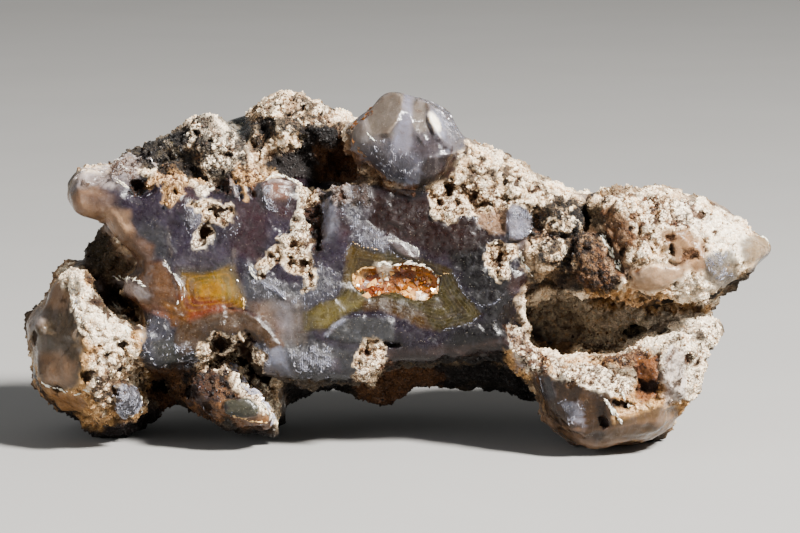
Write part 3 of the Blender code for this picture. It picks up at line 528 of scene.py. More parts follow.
KNOB_COATS = [
    (KNOB, "glass", 0.9, 0.0, 1.5, 0.1),
    ([(350, 124), (372, 116), (394, 134), (386, 152), (364, 150), (350, 140)],
     "glass brown", 0.7, 0.0, 8, 0.4),
    ([(362, 144), (390, 142), (418, 152), (420, 170), (410, 186), (386, 178), (366, 160)],
     "chip blue", 0.85, 0.0, 14, 0.6),
    ([(366, 116), (378, 100), (392, 90), (404, 91), (402, 110), (396, 125), (390, 134), (372, 136)],
     "glass brown", 0.95, 0.0, 3, 0.2),
    # Partly the milky chalcedony and partly painted light: the pale stripe where the knob's ridge
    # catches the light.
    ([(404, 91), (414, 93), (413, 112), (412, 134), (408, 154), (393, 152), (395, 132), (403, 112)],
     "glass light", 0.85, 0.0, 5, 0.3),
    ([(413, 97), (428, 103), (428, 118), (432, 130), (420, 133), (412, 126)],
     "glass brown", 0.85, 0.0, 6, 0.3),
    ([(415, 134), (433, 130), (443, 143), (437, 158), (420, 160), (411, 150)],
     "mauve glass", 0.85, 0.0, 7, 0.4),
    ([(420, 96), (446, 108), (462, 138), (453, 142), (444, 120), (430, 106)],
     "smoke", 0.45, 0.0, 3, 0.8),
    # Painted highlight: the bright oval on the knob's right, in pale blue and white.
    ([(427, 113), (433, 112), (442, 118), (447, 130), (443, 138), (436, 134), (430, 126)],
     "pale blue", 0.95, 0.0, 4, 0.2),
    ([(428, 114), (434, 115), (440, 124), (440, 133), (434, 129), (430, 122)],
     "white", 0.9, 0.0, 3, 0.2),
    # Painted shade below the knob's lower right, in the same mauve brown.
    ([(424, 158), (454, 154), (458, 168), (446, 182), (424, 188), (416, 176)],
     "mauve brown shadow", 0.9, 0.0, 5, 0.5),
    ([(404, 172), (420, 168), (418, 186), (406, 188)], "pale blue", 0.6, 0.2, 4, 0.8),
]

# Clear ends, which are clear right through: outline, colour, the depth that they reach back to in
# millimetres towards the eye, and pixels of fading.
CLEAR_ENDS = [
    ([(346, 122), (372, 106), (380, 90), (392, 84), (408, 86), (432, 98), (454, 114), (467, 138),
      (458, 158), (430, 176), (405, 186), (384, 178), (352, 150)], "glass", 1.0, 4),
    ([(222, 119), (236, 112), (250, 116), (254, 132), (247, 146), (236, 140), (228, 130)],
     "green glass", -30.0, 3),
    ([(740, 236), (756, 228), (784, 240), (770, 258), (748, 274)], "tip", -30.0, 5),
    ([(60, 196), (86, 188), (106, 196), (106, 218), (88, 226), (60, 214)], "tan glow", -30.0, 6),
    ([(540, 412), (575, 424), (625, 414), (672, 404), (684, 430), (652, 452), (600, 452),
      (556, 440)], "tan glow", 2.0, 8),
    ([(22, 320), (44, 294), (60, 276), (66, 300), (52, 350), (40, 400), (22, 370)],
     "smoke", 0.0, 8),
]

# Where the chalcedony is splintered and frosty: outline, strength and pixels of fading.
FROSTED = [
    ([(246, 262), (262, 276), (290, 284), (306, 296), (300, 310), (268, 300), (250, 286)], 0.35, 10),
    ([(304, 262), (340, 274), (344, 288), (326, 300), (308, 304), (298, 284)], 0.22, 10),
    ([(345, 212), (368, 220), (386, 232), (388, 252), (370, 252), (350, 240)], 0.4, 8),
    ([(340, 182), (370, 182), (372, 216), (350, 220), (338, 204)], 0.25, 10),
    ([(246, 340), (262, 345), (268, 366), (256, 372), (248, 358)], 0.8, 8),
    ([(290, 350), (312, 346), (334, 352), (330, 374), (300, 376)], 0.8, 12),
    ([(140, 312), (166, 318), (176, 340), (166, 366), (146, 364), (140, 340)], 0.12, 10),
    ([(186, 202), (204, 206), (206, 226), (196, 236), (186, 222)], 0.4, 8),
    ([(204, 214), (236, 206), (240, 230), (222, 248), (206, 244)], 0.08, 10),
    ([(174, 344), (200, 340), (196, 366), (180, 368)], 0.25, 8),
    ([(262, 182), (272, 186), (276, 214), (264, 212)], 0.5, 6),
    ([(506, 205), (530, 212), (532, 236), (510, 238)], 0.6, 4),
    ([(364, 144), (390, 140), (416, 152), (418, 170), (408, 182), (386, 174)], 0.18, 12),
    ([(422, 98), (446, 110), (460, 136), (452, 140), (442, 120)], 0.4, 5),
    # Frost on the lower lump's highlight streak, which paints that highlight pale.
    ([(560, 400), (582, 404), (584, 428), (568, 424)], 0.3, 6),
    ([(706, 250), (726, 254), (730, 276), (712, 284)], 0.6, 8),
    ([(70, 290), (78, 292), (84, 318), (76, 316)], 0.8, 6),
    (LOW_CHIP, 0.7, 4),
]

# Crust with gaps between its granules, brown and partly painted shade: outline, colour, where the
# gaps begin and are full, as noise, and pixels of fading. The rarer they are, the fewer small gaps
# there are as well.
SPECKLE_SIZES = (1.0, 2.4)
SPECKLE_STRENGTH = 0.92
GAPS_BY_RARITY = (0.35, -0.05)
PLAIN_GAPS = 0.2
SPECKLED = [
    ([(530, 206), (552, 200), (584, 206), (584, 250), (562, 278), (534, 254), (524, 222)],
     "dark rock", -0.12, 0.02, 8),
    ([(552, 192), (584, 202), (586, 236), (560, 232)], "dark rock", -0.25, 0.0, 6),
    ([(120, 156), (160, 134), (200, 118), (246, 140), (250, 178), (160, 172)],
     "dark rock", -0.06, 0.08, 8),
    ([(248, 112), (300, 114), (350, 128), (350, 138), (280, 136), (250, 154)],
     "dark rock", -0.22, -0.06, 6),
    ([(250, 104), (270, 94), (300, 96), (340, 116), (320, 119), (280, 112), (256, 114)],
     "dark rock", 0.05, 0.2, 5),
    ([(440, 146), (470, 144), (512, 158), (556, 184), (556, 200), (516, 200), (470, 196),
      (440, 180)], "deep brown", 0.14, 0.28, 8),
    ([(40, 268), (84, 262), (96, 300), (84, 330), (60, 300)], "brown", 0.3, 0.5, 6),
    ([(560, 250), (600, 246), (650, 262), (600, 296), (560, 280)], "deep brown", 0.2, 0.4, 6),
    ([(600, 196), (640, 190), (660, 214), (650, 262), (612, 280), (600, 240)],
     "rust", 0.1, 0.3, 8),
    ([(585, 292), (640, 296), (722, 298), (720, 312), (650, 314), (592, 310)],
     "brown", 0.15, 0.35, 6),
    ([(640, 190), (690, 196), (700, 214), (690, 236), (660, 218)], "rust", 0.02, 0.2, 6),
    ([(88, 348), (130, 352), (148, 360), (140, 400), (100, 416), (88, 380)],
     "brown", 0.08, 0.25, 6),
    ([(180, 366), (225, 372), (240, 400), (215, 420), (186, 410)], "deep brown", -0.1, 0.2, 6),
    ([(566, 340), (640, 346), (650, 372), (600, 366)], "rust", -0.08, 0.12, 6),
    ([(504, 326), (530, 332), (552, 368), (540, 384), (516, 356)], "rust", -0.08, 0.1, 5),
    ([(660, 340), (716, 318), (716, 350), (704, 400), (672, 402)], "brown", 0.12, 0.3, 8),
    ([(565, 230), (600, 228), (618, 280), (600, 290), (570, 270)], "brown", 0.0, 0.25, 6),
]

# Lines on the front: points, width in pixels, colour, strength, how crumbly, height in millimetres.
LINES = [
    ([(84, 183), (97, 176), (111, 170)], 8.0, "brown", 1.0, 0.9, -0.60),
    ([(95, 178), (110, 170)], 5.0, "dim brown", 0.8, 0.8, -0.30),
    ([(168, 226), (169, 240), (172, 256)], 2.4, "plume", 0.4, 0.0, 0.04),
    ([(150, 181), (153, 173), (163, 168), (176, 170), (185, 180)], 3.5, "cream", 0.9, 1.0, 0.55),
    ([(166, 182), (170, 194), (168, 206)], 4.0, "cream", 0.9, 1.0, 0.45),
    ([(180, 187), (190, 183), (200, 181), (207, 188)], 3.5, "cream", 0.9, 1.0, 0.30),
    ([(230, 176), (236, 196)], 3.0, "lip", 0.9, 0.8, 0.35),
    ([(241, 176), (247, 200)], 3.0, "cream", 0.8, 0.8, 0.35),
    ([(254, 184), (252, 190), (254, 196)], 3.0, "rust", 0.9, 0.8, -0.30),
    ([(235, 180), (241, 197)], 2.2, "deep brown", 0.8, 1.0, -0.40),
    ([(246, 176), (252, 196)], 2.2, "deep brown", 0.8, 1.0, -0.40),
    ([(308, 188), (310, 214), (312, 240)], 4.0, "deep brown", 0.8, 1.0, -0.80),
    ([(250, 267), (255, 278)], 3.0, "pale blue", 0.5, 0.1, 0.20),
    ([(262, 282), (275, 290), (285, 298)], 4.5, "pale blue", 0.5, 0.1, 0.20),
    ([(235, 250), (232, 268), (240, 286), (249, 306)], 5.0, "plume", 0.45, 0.0, 0.03),
    ([(243, 262), (243, 276), (252, 292), (264, 304)], 4.0, "blue grey", 0.5, 0.0, 0.03),
    ([(180, 268), (200, 271), (216, 268), (230, 259)], 4.0, "smoke", 0.5, 0.0, 0.02),
    ([(164, 302), (176, 307), (190, 318)], 2.4, "amber", 0.5, 0.0, -0.12),
    ([(190, 318), (205, 312), (228, 309)], 2.2, "orange", 0.6, 0.0, -0.12),
    ([(224, 309), (232, 312)], 3.0, "salmon", 0.7, 0.0, 0.0),
    ([(228, 309), (246, 308)], 2.0, "pit", 0.9, 0.0, -0.18),
    ([(246, 309), (258, 317), (270, 330), (282, 344)], 2.6, "red brown", 0.75, 0.0, -0.10),
    ([(262, 314), (272, 328), (284, 344)], 3.0, "amber", 0.5, 0.0, -0.03),
    ([(194, 322), (215, 317), (244, 318), (262, 330)], 2.4, "plume", 0.35, 0.0, 0.02),
    ([(188, 333), (205, 325), (230, 324)], 2.4, "plume", 0.35, 0.0, 0.02),
    ([(452, 272), (463, 292), (480, 306), (500, 300)], 2.4, "blue grey", 0.5, 0.0, 0.04),
    ([(328, 334), (334, 326), (344, 320)], 3.5, "pale blue", 0.6, 0.0, 0.08),
    ([(350, 150), (362, 160), (375, 168), (388, 181), (402, 186), (416, 188)],
     4.0, "tan", 0.8, 0.7, 0.20),
    ([(352, 156), (366, 168), (384, 186), (398, 192), (414, 194)], 4.0, "rust", 0.8, 1.0, -0.20),
    ([(270, 182), (294, 188), (324, 196)], 3.0, "lip", 0.7, 0.6, 0.25),
    ([(555, 425), (590, 432), (630, 424), (672, 418)], 3.0, "tan glow", 0.4, 0.0, 0.06),
    ([(548, 434), (600, 441), (650, 434)], 2.6, "brown", 0.3, 0.0, -0.05),
    ([(515, 292), (535, 286), (556, 292)], 3.0, "lilac", 0.6, 0.4, 0.15),
    ([(518, 304), (540, 298), (560, 306)], 3.0, "lilac", 0.5, 0.4, 0.15),
    ([(586, 198), (588, 222), (574, 236), (566, 262)], 5.0, "deep brown", 0.8, 1.0, -1.00),
    ([(596, 226), (608, 240), (620, 266), (628, 280)], 4.5, "deep brown", 0.8, 1.0, -0.90),
    ([(634, 190), (650, 200), (658, 216)], 4.0, "rust", 0.7, 1.0, -0.80),
    ([(664, 208), (684, 214), (700, 228), (706, 250)], 4.0, "rust", 0.6, 1.0, -0.60),
    ([(628, 268), (650, 262), (680, 266), (696, 256)], 4.0, "brown", 0.5, 0.8, -0.50),
    ([(658, 400), (661, 380), (664, 362), (680, 346)], 3.0, "rust", 0.7, 1.0, -0.50),
]

# Thin ridges of splinters on the front: points, colour, width of a splinter in millimetres and how
# many there are in a millimetre.
RIDGES = [
    ([(164, 261), (170, 270), (178, 278), (184, 288), (184, 296), (178, 303)], "white", 0.16, 5),
    ([(160, 312), (170, 318), (178, 326)], "pale blue", 0.12, 2),
    ([(142, 340), (150, 356), (156, 364)], "pale blue", 0.20, 4),
    ([(42, 383), (56, 389), (72, 394), (90, 390)], "white", 0.26, 4),
    ([(70, 288), (74, 306), (80, 322)], "white", 0.26, 6),
    ([(112, 304), (120, 312), (127, 322), (131, 332)], "white", 0.32, 8),
    ([(132, 384), (138, 395), (143, 402), (140, 410), (130, 417)], "white", 0.20, 5),
    ([(116, 276), (124, 279), (134, 280), (144, 284)], "white", 0.26, 6),
    ([(115, 180), (122, 184), (130, 188)], "white", 0.25, 5),
    ([(100, 169), (112, 163), (125, 160), (138, 158), (150, 158), (157, 162)], "lip", 0.3, 8),
    ([(262, 178), (272, 174), (284, 176), (300, 184)], "white", 0.3, 7),
    ([(263, 197), (266, 203), (269, 209)], "pale blue", 0.2, 6),
    ([(290, 196), (288, 205), (286, 214)], "pale blue", 0.14, 6),
    ([(234, 176), (238, 188), (240, 200)], "pale blue", 0.16, 6),
    ([(184, 216), (190, 210), (196, 206)], "pale blue", 0.14, 5),
    ([(184, 222), (188, 230), (191, 238)], "pale blue", 0.12, 4),
    ([(75, 182), (78, 174), (86, 170), (98, 168), (110, 160)], "lip", 0.26, 6),
    ([(82, 187), (92, 181), (108, 177), (118, 174)], "lip", 0.18, 5),
    ([(126, 189), (134, 192), (141, 196)], "pale blue", 0.14, 4),
    ([(118, 162), (126, 172), (134, 164)], "white", 0.22, 4),
    ([(250, 267), (255, 278)], "white", 0.25, 6),
    ([(262, 282), (275, 290), (285, 298)], "pale blue", 0.30, 7),
    ([(235, 250), (232, 268), (239, 285), (247, 306)], "plume", 0.12, 3),
    ([(243, 299), (243, 309)], "cream", 0.26, 6),
    ([(181, 271), (200, 274), (215, 271), (229, 264)], "plume", 0.10, 2),
    ([(303, 284), (304, 296), (305, 310)], "pale blue", 0.14, 5),
    ([(452, 272), (458, 282), (463, 292), (470, 300), (480, 306), (490, 305), (500, 300)],
     "pale blue", 0.13, 4),
    ([(440, 331), (455, 327), (470, 323), (480, 315)], "pale blue", 0.14, 4),
    ([(438, 275), (448, 274)], "cream", 0.12, 4),
    ([(343, 262), (346, 252), (351, 242)], "pale blue", 0.14, 5),
    ([(351, 242), (362, 246), (376, 249)], "cream", 0.12, 3),
    ([(352, 312), (362, 316), (376, 314), (392, 318)], "pale blue", 0.14, 3),
    ([(306, 300), (306, 328)], "plume", 0.12, 3),
    ([(388, 240), (404, 242), (419, 250), (418, 260)], "white", 0.16, 6),
    ([(386, 238), (390, 250), (398, 256), (414, 262)], "pale blue", 0.13, 4),
    ([(328, 336), (334, 326), (344, 320)], "pale blue", 0.22, 5),
    ([(354, 284), (356, 274), (363, 268), (376, 268)], "cream", 0.30, 6),
    ([(376, 266), (382, 262), (390, 266)], "white", 0.30, 6),
    ([(390, 266), (400, 265), (410, 263), (424, 266), (434, 272), (439, 280), (437, 290)],
     "white", 0.36, 3.2),
    ([(380, 268), (384, 278), (380, 288)], "cream", 0.26, 4),
    ([(416, 278), (420, 290), (428, 298)], "cream", 0.26, 4),
    ([(520, 250), (524, 265), (532, 277)], "white", 0.30, 6),
    ([(600, 232), (610, 250), (618, 268)], "white", 0.34, 8),
    ([(604, 398), (613, 412), (622, 424)], "white", 0.30, 7),
    ([(540, 372), (542, 398)], "pale blue", 0.20, 3),
    ([(758, 232), (770, 238), (777, 242)], "white", 0.24, 6),
    ([(367, 134), (370, 137), (373, 139)], "white", 0.16, 8),
    ([(418, 98), (432, 106), (442, 113), (450, 122), (459, 138)], "glass", 0.20, 4),
    ([(366, 104), (372, 112), (360, 120), (351, 128)], "rust", 0.30, 6),
    ([(352, 140), (364, 156), (380, 174), (392, 182)], "tan", 0.26, 5),
    ([(556, 404), (566, 400), (574, 410)], "pale blue", 0.16, 4),
    ([(620, 388), (624, 400), (632, 406)], "white", 0.28, 5),
    ([(230, 366), (240, 376), (250, 388), (262, 398), (270, 412), (275, 420)], "frost", 0.5, 9),
    ([(258, 402), (266, 410), (272, 420)], "white", 0.3, 6),
    ([(232, 414), (250, 420), (268, 422)], "cream", 0.24, 4),
]

# The rings of the left patch: their middle, how far they turn, how wide they are for their height
# and how square. The bands fade at the left patch's edge over pixels, at the right one's over
# millimetres.
LEFT_RINGS = ((210, 289.5), 0.10, 1.5, 6)
LEFT_FADING, RIGHT_FADING = 4, 0.5

# Holes on the front: middle, half sizes in pixels, depth in millimetres and colour inside.
HOLES = [
    (139, 185, 8, 4, 0.8, "brown"), (172, 193, 4, 3, 0.9, "pit"), (221, 187, 6, 4, 1.3, "pit"),
    (217, 209, 13, 3.6, 0.9, "brown"), (216, 215, 3, 4, 0.9, "rust"),
    (205, 231, 3.5, 11, 1.0, "brown"), (305, 246, 4, 4, 1.0, "deep brown"),
    (292, 244, 4, 4, 0.6, "rust"), (290, 262, 3, 6, 0.8, "rust"), (304, 262, 5, 4, 1.0, "brown"),
    (308, 276, 3.6, 7, 0.9, "rust"), (271, 256, 3.4, 3.2, 0.8, "pit"),
    (276, 262, 3, 3, 0.7, "rust"), (318, 243, 3.6, 9, 1.0, "deep brown"),
    (312, 214, 2.6, 10, 0.8, "deep brown"), (262, 276, 3, 3, 0.6, "rust"),
    (341, 197, 3.4, 4, 0.8, "rust"), (441, 202, 4.5, 3, 0.9, "rust"),
    (455, 203, 5, 3.2, 0.9, "rust"), (455, 212, 3.4, 3, 0.8, "deep brown"),
    (451, 187, 3.6, 8, 1.0, "rust"), (474, 195, 4, 5, 0.9, "deep brown"),
    (487, 202, 7, 3.2, 0.9, "rust"), (504, 197, 4, 7, 0.9, "rust"),
    (500, 260, 3.6, 8, 1.0, "deep brown"), (657, 220, 3.8, 6, 0.9, "pit"),
    (676, 221, 4.2, 7, 0.9, "gold"), (645, 201, 5, 3.8, 0.8, "gold"),
    (672, 250, 2.8, 5, 0.9, "deep brown"), (392, 345, 8, 3, 1.0, "pit"),
    (220, 343, 11, 6, 1.4, "pit"), (245, 350, 9, 16, 2.2, "pit"),
    (250, 374, 8, 9, 1.8, "deep brown"), (264, 378, 5, 6, 1.2, "deep brown"),
    (209, 362, 4, 3, 0.8, "rust"), (622, 403, 10, 4.5, 1.4, "pit"),
    (605, 423, 5, 6, 1.1, "deep brown"), (649, 386, 11, 8, 1.2, "deep brown"),
    (35, 338, 3.4, 7, 0.7, "brown"), (368, 352, 4, 7, 1.0, "rust"), (690, 255, 8, 6, 0.7, "tan"),
    (670, 238, 7, 4, 0.6, "tan"), (716, 232, 5, 3.5, 0.7, "tan"), (702, 214, 5, 3.5, 0.7, "brown"),
    (630, 228, 4, 3, 0.7, "deep brown"), (622, 252, 3, 4, 0.8, "deep brown"),
    (588, 250, 5, 4, 0.7, "deep brown"), (109, 312, 8, 5, 1.1, "pit"),
    (122, 345, 5, 4, 1.0, "deep brown"), (105, 356, 6, 5, 1.0, "brown"),
    (86, 376, 5, 6, 0.9, "brown"), (118, 370, 6, 4, 0.9, "deep brown"),
    (113, 392, 5, 6, 0.9, "brown"), (56, 388, 5, 4, 0.7, "brown"),
    (160, 384, 10, 6, 1.2, "deep brown"), (190, 392, 8, 7, 1.2, "deep brown"),
    (209, 408, 5, 5, 0.8, "brown"), (288, 112, 4, 3, 0.8, "pit"), (302, 108, 3, 2.5, 0.8, "pit"),
    (270, 112, 3, 3, 0.8, "pit"), (262, 128, 4, 3, 0.9, "pit"), (318, 118, 3, 2.4, 0.7, "pit"),
    (210, 140, 4, 3, 0.8, "dark rock"), (228, 156, 5, 3, 0.9, "dark rock"),
    (196, 132, 4, 3, 0.8, "dark rock"), (535, 190, 5, 3, 0.8, "dark rock"),
    (556, 204, 4, 3, 0.8, "dark rock"), (520, 180, 4, 3, 0.8, "dark rock"),
    (566, 236, 4, 4, 0.9, "brown"), (548, 240, 4, 3, 0.8, "brown"), (659, 330, 9, 5, 1.8, "pit"),
    (690, 360, 5, 7, 0.8, "tan"), (680, 384, 4, 4, 0.8, "brown"),
    (524, 340, 4, 3, 0.8, "deep brown"), (572, 384, 5, 2.5, 0.7, "brown"),
]

# Steps on the front: outline, height in millimetres and how many pixels the step runs over. Steps
# and broken faces have the same small stray, lines of relief are a little wider than their colour,
# and crust on the slab stands this high, up to an edge of so many pixels.
STEP_STRAY = 0.1
LINE_SPREAD = 1.3
ISLAND_RISE = 0.22
ISLAND_RISE_EDGE = 8
STEPS = [
    (RAISED_RIM, 0.35, 8.0),
    ([(322, 206), (332, 201), (338, 214), (337, 232), (326, 237)], 0.20, 6.0),
    (PATCH_LEFT, -0.12, 2.0), (DOME, 0.25, 9.0), (GREY_LENS, 0.30, 3.0), (BAR, 0.35, 3.0),
    (VUG, -0.55, 4.0), (PALE_CHIP, 0.30, 4.0), (FOOT_LENS, 0.40, 5.0), (LOW_CHIP, 0.40, 3.0),
    (CHIP, 0.20, 5.0),
    ([(306, 312), (336, 300), (345, 310), (330, 328), (306, 330)], 0.15, 2.0),
    ([(124, 275), (140, 262), (162, 262), (172, 272), (182, 286), (184, 300), (178, 314),
      (142, 304)], 0.30, 4.0),
]

# Broken faces: outline, then how far each leans to the right and upwards, as a slope, and how many
# pixels its edge runs over. A face keeps a share of the slope that was there, and no point moves
# further than this many millimetres.
OLD_SLOPE = 0.7
MOST_SHIFT = 1.0
FACES = [
    ([(362, 112), (378, 98), (392, 88), (405, 90), (403, 108), (398, 122), (389, 135), (372, 134)],
     -0.25, 0.10, 5),
    ([(418, 96), (430, 104), (428, 118), (434, 132), (424, 144), (414, 132), (412, 112)],
     0.15, 0.05, 4),
    ([(427, 104), (446, 112), (462, 138), (450, 146), (438, 138), (429, 122)], 0.35, 0.20, 6),
    ([(426, 156), (455, 152), (440, 164), (420, 180)], 0.05, -0.40, 4),
    ([(553, 380), (580, 382), (572, 430), (556, 412)], -0.25, 0.05, 3),
    ([(580, 384), (606, 394), (604, 424), (584, 438), (572, 430)], 0.20, -0.10, 3),
    ([(372, 230), (385, 230), (388, 248), (374, 250)], 0.10, 0.20, 3),
    (BAR, 0.10, 0.20, 2),
    (PALE_CHIP, 0.20, 0.10, 3),
    ([(650, 196), (690, 196), (722, 212), (744, 226), (736, 244), (706, 236), (676, 214)],
     0.15, 0.35, 5),
    ([(640, 226), (664, 222), (690, 240), (700, 256), (680, 262), (650, 258)], -0.10, -0.15, 5),
    ([(602, 208), (622, 204), (636, 232), (632, 262), (616, 262)], -0.25, 0.10, 5),
    ([(660, 350), (690, 338), (712, 336), (706, 372), (680, 396), (662, 384)], 0.35, 0.05, 5),
    ([(54, 282), (76, 274), (84, 306), (74, 340), (46, 330), (40, 306)], -0.15, 0.10, 5),
    ([(260, 104), (292, 98), (318, 112), (312, 124), (276, 126)], 0.05, 0.45, 5),
    ([(500, 170), (534, 178), (560, 196), (552, 212), (520, 200)], 0.10, 0.30, 5),
]

# Noise that comes in parts: its size in millimetres, seed, and where it begins and is full.
Parts = namedtuple("Parts", "size seed low high")

# Relief of the crumbly parts: lumps by size, height and seed, and what is sunk into them by how
# deep it is, all in millimetres. The noise is warped, so that nothing is round.
LUMPS = [(6.5, -1.0, 31), (2.6, 0.60, 32), (1.15, -0.42, 33), (0.6, 0.22, 34)]
LUMP_LEVEL = 0.45
WARP, WARP_SIZE, WARP_SEEDS = 0.45, 1.1, (61, 62, 63)
PIT_DEPTH, PITS, PITTED_PARTS = 0.8, Parts(2.3, 35, 0.32, 0.5), Parts(8.0, 42, -0.05, 0.25)
CREASE_DEPTH, CREASES = 0.55, Parts(3.4, 43, 0.085, 0.02)
LACE_DEPTH, LACE = 0.65, Parts(1.5, 36, 0.02, 0.16)

# Relief of the clear parts: small facets that lean in all directions, low waves and splinters.
FACET_SIZE, FACET_SLOPE, FACET_SEED, FACET_TURNS = 5.2, 0.22, 37, 40
CLEAR_WAVES = [(3.0, 0.16, 38), (1.2, 0.06, 39)]
SPLINTERS = [(1.6, 0.30, 40), (0.8, 0.16, 41)]
SPLINTER_LEVEL = 0.4
CLEAR_END_CALM = 0.7

# The relief rises along normals that are blurred so often, and nothing sinks below this level.
RELIEF_ROUNDS = 6
FOOT_LEVEL = 0.05

# Stains: how many rounds of blurring tell small and large hollows, from what depth to what depth in
# millimetres each stain comes in, how strong it is, and how bright crust has to be to turn white where
# it stands out, which is partly wear and partly a painted highlight.
HOLLOW_ROUNDS = (8, 40)
DEEP, DEEPER, PROUD = (-0.01, 0.11), (0.2, 0.5), (0.0, 0.11)
RUST_STRENGTH, BROWN_STRENGTH, WORN_AND_HIGHLIGHT_STRENGTH = 0.75, 0.6, 0.9
RUSTY_PARTS = Parts(4.5, 51, -0.3, 0.3)
WHITE_WEAR_AND_HIGHLIGHT = (0.3, 0.6)

# Grains: how many in a piece, their sizes in millimetres and how deep they sit, from 0 to 1. Most
# are small. Some are dark where the crust has gaps, partly as painted shade, and the foot of each
# is painted browner and darker than its tip, as painted shade.
GRAIN_PIECES = {
    "fine_grains_front": {"count": 24000, "smallest": 0.13, "largest": 0.32, "sunk": 0.35, "seed": 11},
    "coarse_grains_front": {"count": 9000, "smallest": 0.26, "largest": 0.62, "sunk": 0.42, "seed": 12},
    "grains_around": {"count": 24000, "smallest": 0.20, "largest": 0.55, "sunk": 0.38, "seed": 13},
}
VUG_CRYSTALS = {"count": 260, "smallest": 0.35, "largest": 1.4, "sunk": 0.55, "seed": 14,
                "light": (0.8, 1.4), "pale": 0.2}
SMALL_ONES = 2.2
TIP_LENGTHS = (0.6, 1.3)
SHADED_GRAIN = (0.16, 0.11, 0.07)
SHADED_GRAIN_SHARE = 0.6
FOOT_SHADE_TINT = (0.68, 0.56, 0.44)
FOOT_SHADE_HEIGHTS = (-0.5, 0.6)

# A grain's six tips, and its eight sides by the tips that they join.
TIPS = np.array([(1, 0, 0), (-1, 0, 0), (0, 1, 0), (0, -1, 0), (0, 0, 1), (0, 0, -1)], float)
EIGHT_SIDES = [(0, 2, 4), (2, 1, 4), (1, 3, 4), (3, 0, 4), (2, 0, 5), (1, 2, 5), (3, 1, 5), (0, 3, 5)]

# Splinters: how high they stand and how far they tilt, for their width. Those of the ridges stray
# from their line and turn from it, and vary in width, in length for their width and in lightness.
# Those of the frost are so many, lie in clumps, have these widths in millimetres and mostly run
# upright.
SPLINTER_HEIGHTS, SPLINTER_TILTS = (0.35, 0.8), (-0.5, 0.5)
RIDGE_STRAY, RIDGE_TURN = 0.35, 0.18
RIDGE_WIDTHS, RIDGE_LENGTHS, RIDGE_LIGHT = (0.5, 1.3), (1.5, 4.0), (0.7, 1.3)
FROST_COUNT = 4500
FROST_CLUMPS = Parts(0.9, 44, -0.1, 0.45)
FROST_RUNS = (0.5, 0.3, 1.0)
FROST_WIDTHS, FROST_LENGTHS, FROST_LIGHT = (0.05, 0.18), (1.5, 5.0), (0.35, 1.15)

# Noise in the materials: scale for a millimetre, detail, roughness and distortion.
PATTERNS = {
    "crust edge": (1.6, 3, 0.55, 0.0),
    "dust": (1.3, 5, 0.65, 0.0),
    "shaded_gaps": (1.7, 6, 0.72, 0.4),
    "clouds": (0.38, 6, 0.62, 0.4),
    "veil": (0.75, 8, 0.70, 0.8),
    "waver": (1.4, 4, 0.55, 0.0),
    "streaks": (0.9, 7, 0.66, 1.8),
    "flakes": (2.4, 4, 0.70, 0.0),
    "veins": (0.8, 6, 0.65, 0.5),
    "dust and glint parts": (0.8, 3, 0.55, 0.0),
    "gloss": (1.1, 5, 0.60, 0.0),
    "granules": (2.4, 6, 0.70, 0.0),
    "ripples": (0.8, 4, 0.50, 0.6),
    "fine ripples": (5.0, 3, 0.55, 0.0),
    "grain mottle": (2.0, 4, 0.60, 0.0),
    "grain dust": (0.9, 3, 0.55, 0.0),
    "grain gloss": (1.5, 3, 0.55, 0.0),
    "grain bumps": (9.0, 2, 0.55, 0.0),
    "crystal clouds": (2.5, 3, 0.55, 0.0),
    "crystal gloss": (3.0, 3, 0.55, 0.0),
    "floor": (0.02, 3, 0.55, 0.0),
}
# Cells of the crust's grains, of its painted glints and of the slab's specks, which are partly dust and
# partly painted glints.
CRUST_CELLS, GLINT_CELLS, SPECK_AND_GLINT_CELLS = 2.6, 3.7, 3.0

# The bands in the two patches: how far the wave of the light bands turns in a millimetre, in radians,
# the colours of the light and the dark bands, and how strong each is. The dark bands are broader.
BANDS = {
    "left": (9.2, "yellow", "amber", 0.38, 0.38),
    "right": (13.0, "band grey", "dim brown", 0.26, 0.42),
}
BROAD_BANDS = 0.31

# What colours in the materials are multiplied by.
TONES = {
    "dust": (0.72, 0.50, 0.28, 1.0),
    "seams_and_shade": (0.40, 0.28, 0.17, 1.0),
    "painted_glints": (1.60, 1.60, 1.60, 1.0),
    "pale veil": (1.16, 1.22, 1.36, 1.0),
    "brown veil": (0.84, 0.75, 0.68, 1.0),
    "grain dust": (0.78, 0.58, 0.36, 1.0),
}
QUARTZ_IOR = 1.54

# The studio: each light's azimuth, elevation and distance in metres, size, power and colour.
LIGHT_AIM = (0.0, 0.0, 0.025)
LIGHTS = {
    "key_light": ((48, 42, 0.9), 0.15, 60.0, (1.0, 0.965, 0.92)),
    "fill_light": ((-50, 14, 1.1), 0.5, 5.0, (0.98, 0.98, 1.0)),
}
FLOOR_RADIUS = 6.0
FLOOR_COLOUR = (0.24, 0.238, 0.232, 1.0)
SKY_COLOUR = (0.97, 0.97, 0.96, 1.0)
SKY_STRENGTH = 0.33


def surface_colour(seen):
    """The red, green and blue that a surface needs to look as seen, in the studio's light."""
    steps = np.linspace(0.2, 1, 400)
    mixed = np.array(TONE_MIXING) @ (np.array(seen) / 255)
    stops = np.interp(mixed, np.polyval(TONE_CURVE, steps), steps)
    light = 2 ** (TONE_STOPS[0] + stops * (TONE_STOPS[1] - TONE_STOPS[0]))
    light = np.linalg.solve(TONE_MIXING, light) - GLOSS_LIGHT
    vivid = light.mean() + (light - light.mean()) * VIVIDNESS
    needed = np.maximum(vivid / LIGHT_LEVEL, DARKEST)
    return needed * min(1, BRIGHTEST / needed.max())


def ease(values, low, high):
    """0 up to low, 1 from high on, and a smooth rise between them. It falls if high is the lower."""
    share = np.clip((values - low) / (high - low), 0, 1)
    return share * share * (3 - 2 * share)


